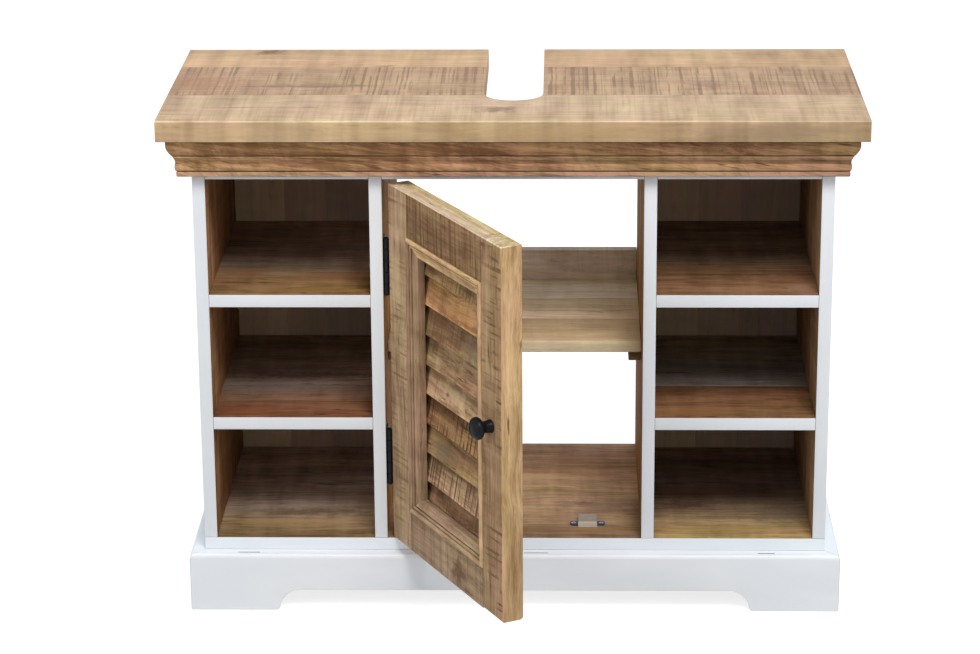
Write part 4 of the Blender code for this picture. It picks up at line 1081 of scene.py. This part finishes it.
# Knob
# A turned mushroom knob of cast iron in the same black, on a thick neck, held by a zinc plated screw
# from behind the stile.
KNOB_X = 0.2673
KNOB_HEIGHT = 0.3105
KNOB_LENGTH = 0.025
KNOB_SECTION = [(0.0023, 0.0003), (0.0072, 0.0003), (0.0076, 0.0007), (0.0076, 0.0016), (0.0073, 0.0024),
                (0.0069, 0.0050), (0.0066, 0.0080), (0.0066, 0.0098), (0.0072, 0.0110), (0.0092, 0.0122),
                (0.0113, 0.0138), (0.0125, 0.0156), (0.0128, 0.0174), (0.0124, 0.0194), (0.0112, 0.0213),
                (0.0090, 0.0231), (0.0060, 0.0243), (0.0030, 0.0249), (0, KNOB_LENGTH), (0, 0.0143),
                (0.0023, 0.0143)]
SCREW_BACK = -0.0268
SCREW_SHANK, SCREW_TIP = 0.002, 0.014
SCREW_SECTION = [(0, SCREW_BACK - 0.0006), (0.0012, SCREW_BACK - 0.0012), (0.0036, SCREW_BACK - 0.0010),
                 (0.004, SCREW_BACK - 0.0005), (0.004, SCREW_BACK), (SCREW_SHANK, SCREW_BACK),
                 (SCREW_SHANK, SCREW_TIP), (0, SCREW_TIP)]


def zinc_plate(name):
    """Bright zinc on steel, faintly mottled and brushed."""
    material, tree, shader = new_finish(name)
    place = own_place(tree)
    tone = mixed(tree, cells(tree, place, (240, 240, 240), 3.0), (0.42, 0.42, 0.43), (0.62, 0.62, 0.60))
    brushed = ramped(tree, cells(tree, place, (60, 60, 900)), 0.2, 0.8, 0.25, 0.45)
    wired(tree, shader, {"Base Color": tone, "Roughness": brushed, "Metallic": 1.0})
    return material


knob_black = lacquer("black_knob_lacquer", (0.0046, 0.0056, 0.0062), (0.033, 0.036, 0.037), 0.28, 0.12)
zinc_steel = zinc_plate("bright_zinc_plate")
outward = Matrix.Translation((KNOB_X, DOOR_FACE - SEAM / 2, KNOB_HEIGHT)) @ Matrix.Rotation(QUARTER, 4, "X")
for solid, ending, section, steps, finish, slot, turn in (
        ("knob", "turned", KNOB_SECTION, 56, knob_black, "black_iron", 50.0),
        ("knob_screw", "panhead", SCREW_SECTION, 32, zinc_steel, "zinc_steel", 35.0)):
    bm = bmesh.new()
    spun(bm, section, steps)
    bm.transform(door_place @ outward)
    made_piece(solid, ending, bm, [finish], "door", turn)


# Magnetic catch
# A beige plastic housing with its magnet, over a black plate whose two ears are screwed to the base
# board; a small zinc strike plate faces it at the foot of the door's back.
CATCH_EAR = 0.0035
CATCH_SCREW_INSET = 0.0042
HOUSING_FIT = 0.00045
HOUSING_ROUND = 0.0012
STRIKE_MIDDLE = 0.2318
STRIKE_WIDTH, STRIKE_THICKNESS, STRIKE_CORNER = 0.0237, 0.0009, 0.003


def beige_plastic(name, dark, light):
    """Moulded beige plastic with rub marks."""
    material, tree, shader = new_finish(name)
    place = own_place(tree)
    rub = patches(tree, place, (500, 120, 300), 0.60, 0.72, 4.0, 0.7)
    tone = mixed(tree, cells(tree, place, (150, 150, 150), 3.0), dark, light)
    tone = mixed(tree, calc(tree, "MULTIPLY", rub, 0.6), tone, (0.28, 0.23, 0.17))
    wired(tree, shader, {"Base Color": tone, "Roughness": 0.45})
    bumped(tree, shader, rub, 0.2, 0.0002)
    return material


plate_low, plate_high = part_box("catch_plate")
bm = bmesh.new()
block(bm, plate_low, plate_high)
upright = [edge for edge in bm.edges if abs(edge.verts[0].co.z - edge.verts[1].co.z) > SAME]
rounded(bm, upright, CATCH_EAR, 6)
for x in (plate_low.x + CATCH_SCREW_INSET, plate_high.x - CATCH_SCREW_INSET):
    screw_head(bm, (x, (plate_low.y + plate_high.y) / 2, plate_high.z), (0, 0, 1))
for face in bm.faces:
    face.material_index = 1 if face.calc_center_median().z > plate_high.z + SAME else 0
blued_plate = lacquer("blued_catch_plate", (0.05, 0.06, 0.085), (0.12, 0.13, 0.17))
made_piece("catch_plate", "eared", bm, [blued_plate, zinc_steel], "cabinet", 35.0)

low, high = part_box("catch_body")
front, back, roof = plate_low.y - HOUSING_FIT, plate_high.y + HOUSING_FIT, plate_high.z + HOUSING_FIT
outline = [(low.y, low.z), (front, low.z), (front, roof), (back, roof), (back, low.z), (high.y, low.z),
           (high.y, high.z), (low.y, high.z)]
bm = bmesh.new()
drawn(bm, [(low.x, y, z) for y, z in outline], (high.x - low.x, 0, 0))
top = [edge for edge in bm.edges if all(vert.co.z > high.z - SAME for vert in edge.verts)]
rounded(bm, top, HOUSING_ROUND, 4)
bm.normal_update()
# The top faces take a darker beige.
for face in bm.faces:
    face.material_index = 1 if face.normal.z > 0.8 else 0
housing = [beige_plastic("beige_moulded_plastic", (0.52, 0.44, 0.37), (0.62, 0.54, 0.46)),
           beige_plastic("darker_beige_plastic_on_top", (0.27, 0.215, 0.15), (0.39, 0.315, 0.23))]
made_piece("catch_body", "housing", bm, housing, "cabinet", 35.0)

low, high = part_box("strike_plate")
near = DOOR_BACK + SEAM
bm = bmesh.new()
block(bm, (STRIKE_MIDDLE - STRIKE_WIDTH / 2, near, low.z),
      (STRIKE_MIDDLE + STRIKE_WIDTH / 2, near + STRIKE_THICKNESS, high.z))
through = [edge for edge in bm.edges if abs(edge.verts[0].co.y - edge.verts[1].co.y) > SAME]
rounded(bm, through, STRIKE_CORNER, 5)
bm.transform(door_place)
made_piece("strike_plate", "rounded", bm, [zinc_steel], "door", 35.0)


# Studio
# A pale floor that the camera sees as white with the unit's soft shadow on it, an even white surround,
# and three soft boxes: one high in front and one on each side.
FLOOR_HALF = 12.0
FLOOR_LIFT = 0.78
SURROUND = 0.50


def seen_directly(tree):
    """1 for what the camera sees, by itself or in gloss or glass."""
    path = node(tree, "ShaderNodeLightPath").outputs
    return calc(tree, "MAXIMUM", path["Is Camera Ray"],
                calc(tree, "MAXIMUM", path["Is Glossy Ray"], path["Is Transmission Ray"]))


floor_paper, tree, shader = new_finish("pale_floor_paper")
mottle = cells(tree, own_place(tree), (3, 3, 3))
wired(tree, shader, {"Base Color": mixed(tree, mottle, (0.50, 0.50, 0.50), (0.54, 0.54, 0.54)),
                     "Roughness": 0.9, "Emission Color": (1, 1, 1),
                     "Emission Strength": calc(tree, "MULTIPLY", seen_directly(tree), FLOOR_LIFT)})
bm = bmesh.new()
bmesh.ops.create_grid(bm, x_segments=1, y_segments=1, size=FLOOR_HALF)
floor = as_object("floor", bm, [floor_paper])

world = bpy.data.worlds.new("studio_surround")
world.use_nodes = True
bpy.context.scene.world = world
tree = world.node_tree
strength = ramped(tree, seen_directly(tree), 0.0, 1.0, SURROUND, 1.0)
wired(tree, tree.nodes["Background"], {"Color": (0.92, 0.98, 1.06), "Strength": strength})

for word, spot, aim, size, power in (("key", (0.6, -2.0, 2.9), (0, 0, 0.35), 1.4, 66.0),
                                     ("left", (-2.4, -2.0, 1.5), (0, 0, 0.3), 1.8, 20.0),
                                     ("right", (2.4, -2.0, 1.5), (0, 0, 0.3), 1.8, 8.0)):
    lamp = bpy.data.lights.new(f"softbox_{word}", "AREA")
    lamp.shape = "DISK"
    lamp.size = size
    lamp.energy = power
    box = bpy.data.objects.new(f"softbox_{word}", lamp)
    box.location = spot
    box.rotation_euler = (Vector(aim) - Vector(spot)).to_track_quat("-Z", "Y").to_euler()
    bpy.context.scene.collection.objects.link(box)


# Camera
# A long lens well in front, a little to the right and high, looking down on the top. It is worked out
# from the straight edges of the unit for a picture of 980 by 654.
PICTURE_WIDTH = 980
FOCAL_PIXELS = 3070.78
PITCH, ROLL, YAW = 0.31753, -0.00673, 0.02472
CAMERA_SPOT = (0.05609, -3.35657 + CARCASS_FRONT, 1.45054)
view_from = Matrix.Rotation(ROLL, 3, "Y") @ Matrix.Rotation(PITCH, 3, "X") @ Matrix.Rotation(-YAW, 3, "Z")
right, forward, above = view_from[0], view_from[1], view_from[2]
lens = bpy.data.cameras.new("camera")
lens.sensor_width = 36.0
lens.sensor_fit = "HORIZONTAL"
lens.lens = FOCAL_PIXELS * lens.sensor_width / PICTURE_WIDTH
lens.clip_end = 50.0
camera = bpy.data.objects.new("camera", lens)
facing = Matrix((right, above, -forward)).transposed().to_4x4()
camera.matrix_world = Matrix.Translation(CAMERA_SPOT) @ facing
bpy.context.scene.collection.objects.link(camera)
bpy.context.scene.camera = camera
bpy.context.scene.view_settings.view_transform = "Standard"
